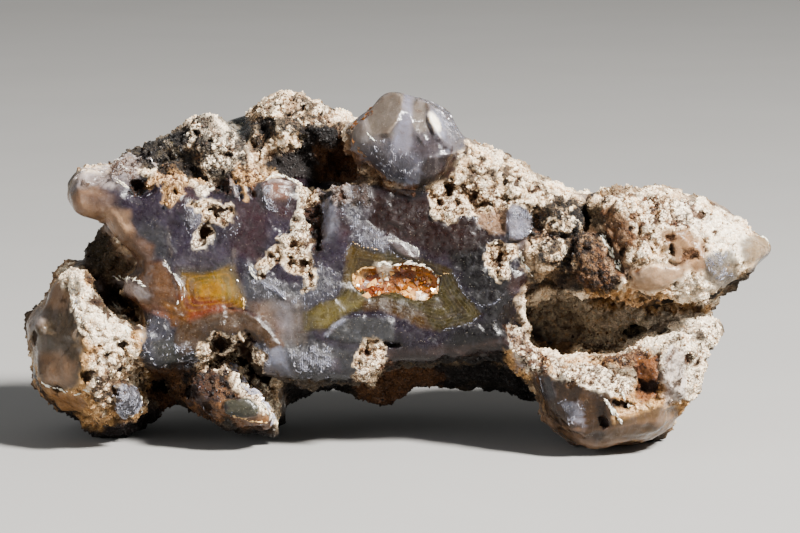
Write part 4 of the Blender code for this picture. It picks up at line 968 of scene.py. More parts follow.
def swell(points, size, seed):
    """Smooth noise of that size at each point, from about -1 to 1."""
    places = points / size + seed * SWELL_SHIFT
    return np.array([noise.noise(place) for place in places.tolist()])


def patchy(points, parts):
    """Patches of noise: 0 outside them, 1 inside."""
    return ease(swell(points, parts.size, parts.seed), parts.low, parts.high)


def folded(points, sizes, level):
    """Noise folded over at its middle, which leaves sharp valleys, less its usual level."""
    return sum(height * (2 * np.abs(swell(points, size, seed)) - level)
               for size, height, seed in sizes)


def cells(points, size, seed):
    """Each point's way from its cell's middle, in cells, and a chance for each cell."""
    places = points / size + seed * CELL_SHIFT
    middles = np.array([noise.voronoi(place)[1][0][:] for place in places.tolist()])
    chances = np.modf(np.abs(np.sin(middles @ (12.99, 78.23, 37.72)) * 4375.85))[0]
    return places - middles, chances


def as_seen(points):
    """Pixels across and down in the photograph, and millimetres towards the eye."""
    drawn = points + DRAWN_SHIFT
    away = drawn[:, 1] * math.cos(VIEW_ANGLE) - drawn[:, 2] * math.sin(VIEW_ANGLE)
    up = drawn[:, 1] * math.sin(VIEW_ANGLE) + drawn[:, 2] * math.cos(VIEW_ANGLE)
    nearness = 1 + away / EYE_DISTANCE
    across = PHOTO_MIDDLE + drawn[:, 0] / nearness / PIXEL
    down = PHOTO_GROUND - (EYE_LEVEL + (up - EYE_LEVEL) / nearness) / PIXEL
    return across, down, -away


def distance_to_line(across, down, line):
    """Pixels from each place to a line of straight runs."""
    nearest = np.full(len(across), np.inf)
    for (u0, v0), (u1, v1) in zip(line, line[1:]):
        run, rise = u1 - u0, v1 - v0
        along = np.clip(((across - u0) * run + (down - v0) * rise) / (run**2 + rise**2), 0, 1)
        nearest = np.minimum(nearest, np.hypot(across - u0 - along * run, down - v0 - along * rise))
    return nearest


def distance_inside(across, down, outline):
    """Pixels from each place to a closed outline, positive inside it and negative outside."""
    closed = [*outline, outline[0]]
    inside = np.zeros(len(across), bool)
    for (u0, v0), (u1, v1) in zip(closed, closed[1:]):
        if v1 != v0:
            crossing = u0 + (down - v0) * (u1 - u0) / (v1 - v0)
            inside ^= ((v0 > down) != (v1 > down)) & (across < crossing)
    nearest = distance_to_line(across, down, closed)
    return np.where(inside, nearest, -nearest)


def read_points(mesh):
    """The mesh's points as an array."""
    flat = np.empty(len(mesh.vertices) * 3)
    mesh.vertices.foreach_get("co", flat)
    return flat.reshape(-1, 3)


class Skin:
    """The stone's finer surface as arrays: its points in millimetres and what is known at each."""

    def __init__(self, mesh):
        count = len(mesh.vertices)
        self.points = read_points(mesh) / MM
        ends = np.empty(len(mesh.edges) * 2, int)
        mesh.edges.foreach_get("vertices", ends)
        self.starts, self.ends = ends.reshape(-1, 2).T
        self.neighbours = np.bincount(ends, minlength=count)
        self.read_normals(mesh)
        self.tint = np.zeros((count, 3))
        self.crumb = np.ones(count)
        self.hollow = np.zeros(count)
        self.lace = np.zeros(count)
        self.frost = np.zeros(count)
        self.glow = np.zeros(count)
        self.shaded_gaps = np.full(count, PLAIN_GAPS)

    def read_normals(self, mesh):
        flat = np.empty(len(mesh.vertices) * 3)
        mesh.vertex_normals.foreach_get("vector", flat)
        self.normals = flat.reshape(-1, 3)

    def blurred(self, values, rounds):
        """Values averaged with their neighbours' as many times as there are rounds."""
        count = len(self.neighbours)
        for _ in range(rounds):
            total = np.bincount(self.starts, values[self.ends], count)
            total += np.bincount(self.ends, values[self.starts], count)
            values = (values + total / self.neighbours) / 2
        return values

    def soft_normals(self, rounds):
        soft = np.column_stack([self.blurred(axis, rounds) for axis in self.normals.T])
        return soft / np.linalg.norm(soft, axis=1)[:, None]

    def hollowness(self, rounds):
        """How far each point lies below its surroundings, in millimetres."""
        level = np.column_stack([self.blurred(axis, rounds) for axis in self.points.T])
        return ((level - self.points) * self.normals).sum(axis=1)

    def look(self):
        """Works out where the points show in the photograph and which are in sight."""
        self.across, self.down, self.depth = as_seen(self.points)
        columns = (self.across / SIGHT_CELL).astype(int)
        rows = (self.down / SIGHT_CELL).astype(int)
        foremost = np.full((rows.max() + 1, columns.max() + 1), -np.inf)
        np.maximum.at(foremost, (rows, columns), self.depth)
        behind = foremost[rows, columns] - self.depth
        near, far = SIGHT_DEPTH
        self.in_sight = self.blurred(ease(behind, far, near), SIGHT_BLUR)
        self.stray_across = self.straying(1)
        self.stray_down = self.straying(3)
        self.ragged = 1 + RAGGEDNESS * swell(self.points, RAGGED_SIZE, 5)

    def straying(self, seed):
        """How far an edge strays at each point, from about -1 to 1."""
        coarse, fine = STRAY_SIZES
        return swell(self.points, coarse, seed) + FINE_STRAY * swell(self.points, fine, seed + 1)

    def near(self, places, margin, stray=0.0):
        """The points in sight near those places, and where their strayed places show."""
        low = np.min(places, axis=0) - margin
        high = np.max(places, axis=0) + margin
        close = (self.across > low[0]) & (self.across < high[0])
        close &= (self.down > low[1]) & (self.down < high[1]) & (self.in_sight > BARELY_SEEN)
        chosen = np.nonzero(close)[0]
        far = STRAY_PIXELS * stray
        across = self.across[chosen] + far * self.stray_across[chosen]
        down = self.down[chosen] + far * self.stray_down[chosen]
        return chosen, across, down

    def in_outline(self, outline, edge, stray=0.0):
        """The points in an outline on the front, and how far each is in it, from 0 to 1."""
        chosen, across, down = self.near(outline, edge + OUTLINE_MARGIN, stray)
        inside = distance_inside(across, down, outline)
        return chosen, ease(inside, -edge / 2, edge / 2) * self.in_sight[chosen]

    def on_line(self, line, width):
        """The points on a line on the front, and how far each is on it, from 0 to 1."""
        chosen, across, down = self.near(line, width + LINE_MARGIN, LINE_STRAY)
        away = distance_to_line(across, down, line)
        outer, inner = LINE_RIM
        return chosen, ease(away, width * outer, width * inner) * self.in_sight[chosen]

    def in_hole(self, across, down, half_across, half_down):
        """The points in an oval hole on the front, and how far each is in it, from 0 to 1."""
        reach = max(half_across, half_down) * HOLE_REACH
        chosen, at_across, at_down = self.near([(across, down)], reach, HOLE_STRAY)
        away = np.hypot((at_across - across) / half_across, (at_down - down) / half_down)
        away *= self.ragged[chosen]
        return chosen, ease(away, *HOLE_RIM) * self.in_sight[chosen]

    def paint(self, chosen, share, colour, crumb=None):
        """Lays a colour over the chosen points, and with it how crumbly they are."""
        self.tint[chosen] += share[:, None] * (surface_colour(COLOURS[colour]) - self.tint[chosen])
        if crumb is not None:
            self.crumb[chosen] += share * (crumb - self.crumb[chosen])


def raise_to(values, chosen, least):
    """Lifts the chosen values to at least so much each."""
    values[chosen] = np.maximum(values[chosen], least)


def apply_modifiers(piece):
    """Puts the piece's modifiers into its mesh."""
    depsgraph = bpy.context.evaluated_depsgraph_get()
    baked = bpy.data.meshes.new_from_object(piece.evaluated_get(depsgraph))
    piece.modifiers.clear()
    piece.data = baked


def new_piece(name, mesh):
    piece = bpy.data.objects.new(name, mesh)
    bpy.context.scene.collection.objects.link(piece)
    return piece


def make_skin(node):
    """A fine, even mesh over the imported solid, with the solid's flat facets smoothed away."""
    piece = new_piece("moss_agate_skin", node.data.copy())
    remesh = piece.modifiers.new("even", "REMESH")
    remesh.mode = "VOXEL"
    remesh.voxel_size = SKIN_VOXEL * MM
    remesh.use_smooth_shade = True
    smooth = piece.modifiers.new("soft", "SMOOTH")
    smooth.factor = 0.5
    smooth.iterations = SKIN_SMOOTHING
    apply_modifiers(piece)
    return piece


def lay_ground(skin):
    """The rock everywhere: crust, brown rock between its lumps, windows of chalcedony, and painted
    shade on what looks down.
    """
    skin.tint[:] = surface_colour(COLOURS["crust"])
    everywhere = np.arange(len(skin.points))
    for colour, size, seed, low, high, crumb in GROUND_PATCHES:
        spread = swell(skin.points, size, seed) + 0.3 * swell(skin.points, size / 4, seed + 40)
        skin.paint(everywhere, PATCH_STRENGTH * ease(spread, low, high), colour, crumb)
    # Painted shade: dark rock over whatever looks down.
    shaded_underneath = ease(-skin.normals[:, 2], *SHADED_DOWNWARD)
    skin.paint(everywhere, UNDERSIDE_SHADE_STRENGTH * shaded_underneath, "dark rock", 1.0)


def lay_clear_ends(skin):
    """The ends that are clear right through, also where no line of sight reaches."""
    for outline, colour, back, edge in CLEAR_ENDS:
        inside = distance_inside(skin.across, skin.down, outline)
        share = ease(inside, -edge / 2, edge / 2) * ease(skin.depth, back - 1, back + 1)
        skin.paint(np.arange(len(share)), share, colour, 0.0)
        skin.glow = np.maximum(skin.glow, share)


def lay_coats(skin, coats):
    """Coats of colour on the front, and with them where the surface is crumbly or clear."""
    for outline, colour, strength, crumb, edge, stray in coats:
        chosen, share = skin.in_outline(outline, edge, stray)
        skin.paint(chosen, share * strength, colour, crumb)


def lay_slab(skin):
    """The slab's coats, which leave the surface clear."""
    for outline, colour, strength, edge, stray in SLAB_COATS:
        soft = SOFT_SLAB if edge > SHARP_EDGE else 1
        chosen, share = skin.in_outline(outline, edge * soft, stray)
        skin.paint(chosen, share * strength, colour)
        skin.crumb[chosen] *= 1 - ease(share, 0, 1)


def lay_islands(skin):
    """The islands of crust: each is laced with holes and has a little frost round it."""
    for outline, colour, strength, crumb, edge, stray in CRUST_ISLANDS:
        chosen, share = skin.in_outline(outline, edge, stray)
        skin.paint(chosen, share * strength, colour, crumb)
        raise_to(skin.lace, chosen, share * crumb)
        chosen, share = skin.in_outline(outline, FROST_REACH, FROST_STRAY)
        raise_to(skin.frost, chosen, ISLAND_FROST * share * crumb)


def lay_frost(skin):
    """Where the chalcedony is splintered."""
    for outline, strength, edge in FROSTED:
        chosen, share = skin.in_outline(outline, edge, 1.0)
        raise_to(skin.frost, chosen, share * strength)


def lay_lines(skin):
    """The coloured lines on the front, which fade in and out along their way."""
    for line, width, colour, strength, crumb, _ in LINES:
        chosen, share = skin.on_line(line, width)
        broken = ease(skin.stray_across[chosen], *LINE_BREAKS) * (1 - LINE_LEAST) + LINE_LEAST
        skin.paint(chosen, share * strength * broken, colour, crumb)


def lay_speckles(skin):
    """Brown gaps between the granules, where the crust is coarse, partly painted shade."""
    fine, coarse = SPECKLE_SIZES
    spotted = swell(skin.points, fine, 52) + 0.5 * swell(skin.points, coarse, 53)
    for outline, colour, rare, common, edge in SPECKLED:
        chosen, share = skin.in_outline(outline, edge, 1.0)
        skin.paint(chosen, share * ease(spotted[chosen], rare, common) * SPECKLE_STRENGTH, colour)
        raise_to(skin.shaded_gaps, chosen, share * ease(rare, *GAPS_BY_RARITY))
    skin.shaded_gaps = np.maximum(skin.shaded_gaps, skin.lace)


def lay_holes(skin):
    """The dark insides of the holes, which come last because they lie deepest."""
    for across, down, half_across, half_down, _, colour in HOLES:
        chosen, share = skin.in_hole(across, down, half_across, half_down)
        skin.paint(chosen, share * HOLE_STRENGTH, colour, 1.0)


def natural_relief(skin):
    """Heights of the relief that isn't placed by hand, in millimetres."""
    points = skin.points
    warped = points + WARP * np.column_stack([swell(points, WARP_SIZE, seed) for seed in WARP_SEEDS])
    rough = folded(points, LUMPS, LUMP_LEVEL)
    pitted = patchy(warped, PITS) * patchy(points, PITTED_PARTS)
    laced = patchy(warped, LACE) * skin.lace
    creased = ease(np.abs(swell(warped, CREASES.size, CREASES.seed)), CREASES.low, CREASES.high)
    creased *= 1 - skin.lace
    rough -= PIT_DEPTH * pitted + LACE_DEPTH * laced + CREASE_DEPTH * creased
    from_middle, chances = cells(warped, FACET_SIZE, FACET_SEED)
    turn = chances * FACET_TURNS
    clear = FACET_SLOPE * (from_middle[:, 0] * np.cos(turn) + from_middle[:, 2] * np.sin(turn))
    clear += sum(height * swell(points, size, seed) for size, height, seed in CLEAR_WAVES)
    clear += skin.frost * folded(warped, SPLINTERS, SPLINTER_LEVEL)
    clear *= 1 - CLEAR_END_CALM * skin.glow
    skin.hollow = skin.crumb * np.maximum(0.6 * pitted, 0.5 * np.maximum(laced, creased))
    return skin.crumb * rough + (1 - skin.crumb) * clear


def placed_relief(skin):
    """Heights of the steps and lines on the front, in millimetres."""
    height = np.zeros(len(skin.points))
    chosen, share = skin.in_outline(SLAB, ISLAND_RISE_EDGE)
    height[chosen] += share * ISLAND_RISE * ease(skin.crumb[chosen], 0.3, 0.7)
    for outline, rise, edge in STEPS:
        chosen, share = skin.in_outline(outline, edge, STEP_STRAY)
        height[chosen] += share * rise
    for line, width, _, _, _, rise in LINES:
        chosen, share = skin.on_line(line, width * LINE_SPREAD)
        height[chosen] += share * rise
    return height


def sunk_depths(skin):
    """How far the holes reach in along the line of sight, in millimetres."""
    depths = np.zeros(len(skin.points))
    for across, down, half_across, half_down, depth, _ in HOLES:
        chosen, share = skin.in_hole(across, down, half_across, half_down)
        raise_to(depths, chosen, share * depth)
    return depths


def break_faces(skin):
    """Turns each broken face into a nearly flat one, by moving its points along the sight."""
    shift = np.zeros(len(skin.points))
    for outline, lean_right, lean_up, edge in FACES:
        chosen, share = skin.in_outline(outline, edge, STEP_STRAY)
        right = (skin.across[chosen] - skin.across[chosen].mean()) * PIXEL
        up = (skin.down[chosen].mean() - skin.down[chosen]) * PIXEL
        plane = np.column_stack([np.ones(len(chosen)), right, up])
        weights = share[:, None] + 1e-6
        level, slope_right, slope_up = np.linalg.lstsq(
            plane * weights, skin.depth[chosen] * weights[:, 0], rcond=None
        )[0]
        flat = level + (slope_right * OLD_SLOPE - lean_right) * right
        flat += (slope_up * OLD_SLOPE - lean_up) * up
        shift[chosen] += share * np.clip(flat - skin.depth[chosen], -MOST_SHIFT, MOST_SHIFT)
    return shift


def sculpt(skin):
    """Moves the skin's points into the relief."""
    towards_eye = np.array([0, -math.cos(VIEW_ANGLE), math.sin(VIEW_ANGLE)])
    heights = natural_relief(skin) + placed_relief(skin)
    sunk = sunk_depths(skin)
    inward = sunk - break_faces(skin)
    skin.hollow = np.maximum(skin.hollow, ease(sunk, 0.1, 0.8))
    outward = skin.soft_normals(RELIEF_ROUNDS)
    skin.points += outward * heights[:, None] - towards_eye * inward[:, None]
    skin.points[:, 2] = np.maximum(skin.points[:, 2], FOOT_LEVEL)


def write_points(mesh, points):
    mesh.vertices.foreach_set("co", (points * MM).ravel())
    mesh.update()


def stain_and_highlight(skin):
    """Brown settles in the hollows of the crumbly parts, and what stands out is made pale, partly as
    wear and partly as a painted highlight.
    """
    narrow, wide = (skin.hollowness(rounds) for rounds in HOLLOW_ROUNDS)
    rusty = 0.35 + 0.65 * patchy(skin.points, RUSTY_PARTS)
    deep = ease(narrow + 0.4 * wide, *DEEP) * skin.crumb
    deeper = ease(narrow + 0.5 * wide, *DEEPER) * skin.crumb
    for share, colour in ((RUST_STRENGTH * deep * rusty, "rust"), (BROWN_STRENGTH * deeper, "brown")):
        settled = np.minimum(surface_colour(COLOURS[colour]), skin.tint)
        skin.tint += share[:, None] * (settled - skin.tint)
    # Painted highlight, partly wear: what stands out is made white.
    proud = ease(-narrow - 0.3 * wide, *PROUD) * skin.crumb
    worn_highlight = surface_colour(COLOURS["white"])
    bright = skin.tint.mean(axis=1) / worn_highlight.mean()
    share = WORN_AND_HIGHLIGHT_STRENGTH * proud * ease(bright, *WHITE_WEAR_AND_HIGHLIGHT)
    skin.tint += share[:, None] * (worn_highlight - skin.tint)


def thin_out(piece, skin):
    """Takes the skin down to its most triangles, with longer edges where the front isn't seen."""
    triangles = sum(len(face.vertices) - 2 for face in piece.data.polygons)
    hidden = piece.vertex_groups.new(name="hidden")
    unseen = 1 - skin.in_sight
    levels = [step / HIDDEN_STEPS for step in range(HIDDEN_STEPS)] + [math.inf]
    for low, high in zip(levels, levels[1:]):
        chosen = np.nonzero((unseen >= low) & (unseen < high))[0]
        weight = (low + 0.5 / HIDDEN_STEPS) * HIDDEN_COARSENESS
        hidden.add(chosen.tolist(), weight, "REPLACE")
    thin = piece.modifiers.new("thin", "DECIMATE")
    thin.ratio = MOST_TRIANGLES / triangles
    thin.vertex_group = "hidden"
    thin.vertex_group_factor = 1.0
    thin.use_collapse_triangulate = True
    apply_modifiers(piece)
    piece.vertex_groups.clear()


def carried_over(piece, skin):
    """For each point of the thinned mesh, the nearest point of the full skin."""
    tree = kdtree.KDTree(len(skin.points))
    for number, place in enumerate(skin.points.tolist()):
        tree.insert(place, number)
    tree.balance()
    return np.array([tree.find(place)[1] for place in (read_points(piece.data) / MM).tolist()])


def front_tree(skin):
    """Finds the point in sight that is nearest to a place in the photograph."""
    seen = np.nonzero(skin.in_sight > WELL_SEEN)[0]
    tree = kdtree.KDTree(len(seen))
    for number, across, down in zip(seen.tolist(), skin.across[seen], skin.down[seen]):
        tree.insert((across, down, 0), number)
    tree.balance()
    return tree


def ring_fields(skin):
    """How far each point is into the two banded patches, in millimetres, and how clearly banded."""
    (middle_across, middle_down), turn, width, squareness = LEFT_RINGS
    right_of, below = skin.across - middle_across, skin.down - middle_down
    turned_across = np.abs(right_of * math.cos(turn) - below * math.sin(turn)) / width
    turned_down = np.abs(right_of * math.sin(turn) + below * math.cos(turn))
    left = (turned_across**squareness + turned_down**squareness) ** (1 / squareness) * PIXEL
    right = distance_inside(skin.across, skin.down, PATCH_RIGHT) * PIXEL
    in_left = ease(distance_inside(skin.across, skin.down, PATCH_LEFT), 0, LEFT_FADING)
    in_right = ease(right, 0, RIGHT_FADING) * skin.in_sight * (1 - skin.crumb)
    return {
        "rings_left": left,
        "inside_left": in_left * skin.in_sight,
        "rings_right": right,
        "inside_right": in_right,
    }


def give_attribute(mesh, name, values):
    """Stores a colour or a number for each point of the mesh, for its material."""
    if values.ndim == 2:
        colours = np.column_stack([values, np.ones(len(values))])
        mesh.attributes.new(name, "FLOAT_COLOR", "POINT").data.foreach_set("color", colours.ravel())
    else:
        mesh.attributes.new(name, "FLOAT", "POINT").data.foreach_set("value", values)


class Wiring:
    """Adds a material's nodes and joins them."""

    def __init__(self, name):
        self.material = bpy.data.materials.new(name)
        self.material.use_nodes = True
        self.tree = self.material.node_tree
        self.shader = self.tree.nodes["Principled BSDF"]
        place = self.tree.nodes.new("ShaderNodeTexCoord").outputs["Object"]
        self.place = self.scaled(place, (1 / MM,) * 3)

    def node(self, kind, inputs=None, **settings):
        made = self.tree.nodes.new("ShaderNode" + kind)
        for name, value in settings.items():
            setattr(made, name, value)
        for name, value in (inputs or {}).items():
            self.feed(made.inputs[name], value)
        return made

    def feed(self, socket, value):
        if isinstance(value, bpy.types.NodeSocket):
            self.tree.links.new(value, socket)
        else:
            socket.default_value = value

    def surface(self, inputs):
        """Feeds the shader, and gives the finished material."""
        for name, value in inputs.items():
            self.feed(self.shader.inputs[name], value)
        return self.material

    def scaled(self, place, scale):
        return self.node("Mapping", {"Vector": place, "Scale": scale}).outputs[0]

    def attribute(self, name, output="Fac"):
        return self.node("Attribute", attribute_name=name).outputs[output]

    def noise(self, pattern, place=None):
        """One of the noise patterns, at the object's place or at another."""
        scale, detail, roughness, distortion = PATTERNS[pattern]
        inputs = {"Vector": place or self.place, "Scale": scale, "Detail": detail,
                  "Roughness": roughness, "Distortion": distortion}
        return self.node("TexNoise", inputs).outputs["Fac"]

    def voronoi(self, scale, output="Distance", **settings):
        inputs = {"Vector": self.place, "Scale": scale}
        return self.node("TexVoronoi", inputs, **settings).outputs[output]

    def maths(self, operation, first, second=0.0):
        return self.node("Math", {0: first, 1: second}, operation=operation).outputs[0]

    def plus(self, first, second):
        return self.maths("ADD", first, second)

    def times(self, first, second):
        return self.maths("MULTIPLY", first, second)

    def rise(self, value, low, high, to_low=0.0, to_high=1.0):
        """A smooth rise from to_low at low to to_high at high."""
        inputs = {"Value": value, "From Min": low, "From Max": high, "To Min": to_low,
                  "To Max": to_high}
        return self.node("MapRange", inputs, interpolation_type="SMOOTHSTEP").outputs[0]

    def mix(self, share, first, second, blend="MIX"):
        made = self.node("Mix", data_type="RGBA", blend_type=blend)
        self.feed(made.inputs[0], share)
        self.feed(made.inputs[6], first)
        self.feed(made.inputs[7], second)
        return made.outputs[2]

    def tone(self, share, colour, by):
        """The colour multiplied by another, as far as the share goes."""
        return self.mix(share, colour, by, "MULTIPLY")

    def blend(self, share, first, second):
        made = self.node("Mix", data_type="FLOAT")
        self.feed(made.inputs[0], share)
        self.feed(made.inputs[2], first)
        self.feed(made.inputs[3], second)
        return made.outputs[0]

    def grey(self, value):
        return self.node("CombineColor", {0: value, 1: value, 2: value}).outputs[0]

    def bump(self, height, distance, strength):
        """A normal from a height, with its distance in millimetres."""
        inputs = {"Height": height, "Distance": distance * MM, "Strength": strength}
        return self.node("Bump", inputs).outputs[0]


def shade(name):
    """A named colour as a shader takes it."""
    return (*surface_colour(COLOURS[name]), 1.0)


def crust_colour(w, tint):
    """Every grain of the crust a little different, with brown dust, painted glints, and seams and gaps
    between the grains that are partly painted shade.
    """
    grain = w.node("SeparateColor", {0: w.voronoi(CRUST_CELLS, "Color")}).outputs[0]
    crust = w.tone(1.0, tint, w.grey(w.rise(grain, 0, 1, 0.74, 1.26)))
    crust = w.tone(w.rise(w.noise("dust"), 0.51, 0.67, to_high=0.75), crust, TONES["dust"])
    # Seams between the grains, darkened: partly brown and partly painted shade.
    seams_and_shade = w.rise(w.voronoi(CRUST_CELLS, feature="DISTANCE_TO_EDGE"), 0.10, 0.0, to_high=0.6)
    crust = w.tone(seams_and_shade, crust, TONES["seams_and_shade"])
    # Painted glints: small cells of the crust made brighter.
    painted_glints = w.rise(w.voronoi(GLINT_CELLS), 0.16, 0.08, to_high=0.6)
    crust = w.tone(painted_glints, crust, TONES["painted_glints"])
    # Gaps between the granules, darkened: partly brown and partly painted shade.
    gappy = w.attribute("shaded_gaps")
    torn = w.plus(w.noise("shaded_gaps"), w.times(gappy, 0.045))
    shaded_gaps = w.times(w.rise(torn, 0.53, 0.57, to_high=0.9), gappy)
    crust = w.mix(shaded_gaps, crust, w.mix(w.attribute("lace"), shade("gap"), shade("earth")))
    return w.mix(w.times(w.attribute("hollow"), 0.4), crust, shade("dim brown"))


def banded(w, colour, side, turns, light, dark, paleness, deepness):
    """Fine bands in one of the two patches, along the rings that the skin carries."""
    inside = w.attribute("inside_" + side)
    rings = w.plus(w.attribute("rings_" + side), w.times(w.noise("waver"), 0.35))
    fine = w.maths("SINE", w.times(rings, turns))
    slow = w.maths("SINE", w.times(rings, turns * BROAD_BANDS))
    pale = w.times(w.rise(fine, 0.1, 1.0, to_high=paleness), inside)
    deep = w.times(w.rise(slow, 0.0, 1.0, to_high=deepness), inside)
    return w.mix(pale, w.mix(deep, colour, shade(dark)), shade(light))


def clear_colour(w, tint, glow, frost, streaks):
    """The chalcedony: clouds, bands in the patches, splinters where it is frosted, and white specks of
    dust and painted glints.
    """
    cloud = w.grey(w.rise(w.noise("clouds"), 0.25, 0.75, 0.60, 1.45))
    clear = w.tone(w.rise(glow, 0, 1, 1.0, 0.35), tint, cloud)
    veil = w.noise("veil")
    clear = w.tone(w.rise(veil, 0.50, 0.66), clear, TONES["pale veil"])
    clear = w.tone(w.rise(veil, 0.46, 0.34), clear, TONES["brown veil"])
    for side, bands in BANDS.items():
        clear = banded(w, clear, side, *bands)
    clear = w.mix(w.times(frost, 0.09), clear, shade("frost"))
    flakes = w.times(w.rise(streaks, 0.50, 0.64), w.rise(w.noise("flakes"), 0.40, 0.58))
    frosted = w.times(flakes, w.plus(w.times(frost, 0.5), 0.04))
    clear = w.mix(frosted, clear, shade("frost"))
    veins = w.rise(w.noise("veins", w.scaled(w.place, (1.0, 0.6, 0.25))), 0.48, 0.68, to_high=0.16)
    clear = w.mix(w.times(veins, glow), clear, shade("lip"))
    # White specks, partly dust and partly painted glints.
    specks_and_glints = w.rise(w.voronoi(SPECK_AND_GLINT_CELLS), 0.13, 0.05, to_high=0.35)
    dusty_and_glinting = w.rise(w.noise("dust and glint parts"), 0.4, 0.6)
    return w.mix(w.times(specks_and_glints, dusty_and_glinting), clear, shade("white"))


def stone_material():
    """Chalcedony where the skin is clear and crumbling crust elsewhere, from the skin's tints."""
    w = Wiring("stone")
    tint = w.attribute("tint", "Color")
    glow = w.attribute("glow")
    frost = w.attribute("frost")
    streaks = w.noise("streaks", w.scaled(w.place, (1.0, 1.0, 0.5)))
    uneven = w.rise(w.noise("crust edge"), 0.3, 0.7, -0.18, 0.18)
    crumb = w.rise(w.plus(w.attribute("crumb"), uneven), 0.3, 0.7)
    gloss = w.rise(w.noise("gloss"), 0.3, 0.7, 0.20, 0.46)
    gloss = w.times(gloss, w.rise(glow, 0, 1, 1, 0.6))

    granules = w.plus(w.noise("granules"), w.times(w.voronoi(CRUST_CELLS), -0.6))
    ripple = w.plus(w.noise("ripples"), w.times(w.noise("fine ripples"), 0.10))
    smooth = w.plus(w.times(ripple, 0.30), w.times(w.times(streaks, frost), 1.8))
    height = w.blend(crumb, smooth, w.times(granules, 0.8))
    clear = clear_colour(w, tint, glow, frost, streaks)
    return w.surface({
        "Base Color": w.mix(crumb, clear, crust_colour(w, tint)),
        "Roughness": w.blend(crumb, gloss, 0.88),
        "Subsurface Weight": w.blend(crumb, w.rise(glow, 0, 1, 0.35, 0.9), 0.06),
        "Subsurface Scale": w.rise(glow, 0, 1, 1.0 * MM, 2.5 * MM),
        "Subsurface Radius": (1.0, 0.8, 0.65),
        "IOR": QUARTZ_IOR,
        "Specular IOR Level": 0.24,
        "Normal": w.bump(height, 0.5, 0.9),
    })


def grain_material():
    """The loose grains: each has its tint, with a little brown in places."""
    w = Wiring("grains")
    mottle = w.grey(w.rise(w.noise("grain mottle"), 0.3, 0.7, 0.8, 1.15))
    colour = w.tone(1.0, w.attribute("tint", "Color"), mottle)
    brown = w.rise(w.noise("grain dust"), 0.50, 0.65, to_high=0.75)
    return w.surface({
        "Base Color": w.tone(brown, colour, TONES["grain dust"]),
        "Roughness": w.rise(w.noise("grain gloss"), 0.3, 0.7, 0.55, 0.9),
        "Subsurface Weight": 0.1,
        "Subsurface Radius": (1.0, 0.8, 0.6),
        "Subsurface Scale": 0.3 * MM,
        "Normal": w.bump(w.noise("grain bumps"), 0.05, 0.6),
    })


def crystal_material():
    """Small glassy crystals in the hollow of the right patch, and the splinters."""
    w = Wiring("crystals")
    cloud = w.grey(w.rise(w.noise("crystal clouds"), 0.3, 0.7, 0.8, 1.2))
    return w.surface({
        "Base Color": w.tone(1.0, w.attribute("tint", "Color"), cloud),
        "Roughness": w.rise(w.noise("crystal gloss"), 0.3, 0.7, 0.08, 0.3),
        "IOR": QUARTZ_IOR,
        "Subsurface Weight": 0.4,
        "Subsurface Radius": (1.0, 0.7, 0.45),
        "Subsurface Scale": 0.6 * MM,
    })


def joined(name, corners, tints, mirrored=None):
    """One mesh of many eight-sided grains, from the six corners of each and their tints."""
    faces = np.tile(np.array(EIGHT_SIDES), (len(corners), 1, 1))
    if mirrored is not None:
        faces[mirrored] = faces[mirrored][:, :, ::-1]
    faces += 6 * np.arange(len(corners))[:, None, None]
    mesh = bpy.data.meshes.new(name)
    mesh.from_pydata(corners.reshape(-1, 3), [], faces.reshape(-1, 3).tolist())
    give_attribute(mesh, "tint", tints.reshape(-1, 3))
    return new_piece(name, mesh)


def strew(name, piece, chances, count, smallest, largest, sunk, seed, light=(0.75, 1.25), pale=0.0,
          dark=None):
    """Joins many small, uneven eight-sided grains, strewn over a piece, into one mesh."""
    chance = np.random.default_rng(seed)
    mesh = piece.data
    corners = np.empty(len(mesh.loops), int)
    mesh.loops.foreach_get("vertex_index", corners)
    corners = corners.reshape(-1, 3)
    points = read_points(mesh)

    first, second, third = (points[corners[:, side]] for side in range(3))
    across = np.cross(second - first, third - first)
    areas = np.linalg.norm(across, axis=1)
    odds = areas * chances[corners].mean(axis=1) * (first[:, 2] > largest * MM)
    chosen = chance.choice(len(corners), count, p=odds / odds.sum())
    split = np.sort(chance.random((count, 2)), axis=1)
    weights = np.column_stack([split[:, 0], split[:, 1] - split[:, 0], 1 - split[:, 1]])
    middles = sum(weights[:, side, None] * points[corners[chosen, side]] for side in range(3))
    upward = across[chosen] / (areas[chosen, None] + 1e-12)

    radii = (smallest + (largest - smallest) * chance.random(count) ** SMALL_ONES) / 2 * MM
    turns = np.linalg.qr(chance.normal(size=(count, 3, 3)))[0]
    stretch = chance.uniform(*TIP_LENGTHS, (count, 6, 1))
    grains = np.einsum("nij,kj->nki", turns, TIPS) * stretch * radii[:, None, None]
    heights = (grains * upward[:, None, :]).sum(axis=2) / radii[:, None]
    lift = radii * (1 - 2 * sunk)
    grains += (middles + upward * lift[:, None])[:, None, :]

    tint = np.empty(len(mesh.vertices) * 4)
    mesh.attributes["tint"].data.foreach_get("color", tint)
    tints = tint.reshape(-1, 4)[corners[chosen, 0], :3] * chance.uniform(*light, (count, 1))
    tints[chance.random(count) < pale] = surface_colour(COLOURS["cream"])
    # Grains where the crust has gaps are painted dark, partly as painted shade.
    if dark is not None:
        tints[chance.random(count) < dark[corners[chosen, 0]]] *= SHADED_GRAIN
    # Painted shade: the foot of each grain is browner and darker than its tip.
    unshaded = ease(heights, *FOOT_SHADE_HEIGHTS)[:, :, None]
    shaded_feet = 1 / (unshaded + (1 - unshaded) / np.array(FOOT_SHADE_TINT))
    return joined(name, grains, np.clip(tints[:, None, :] * shaded_feet, 0, PALEST),
                  np.linalg.det(turns) < 0)


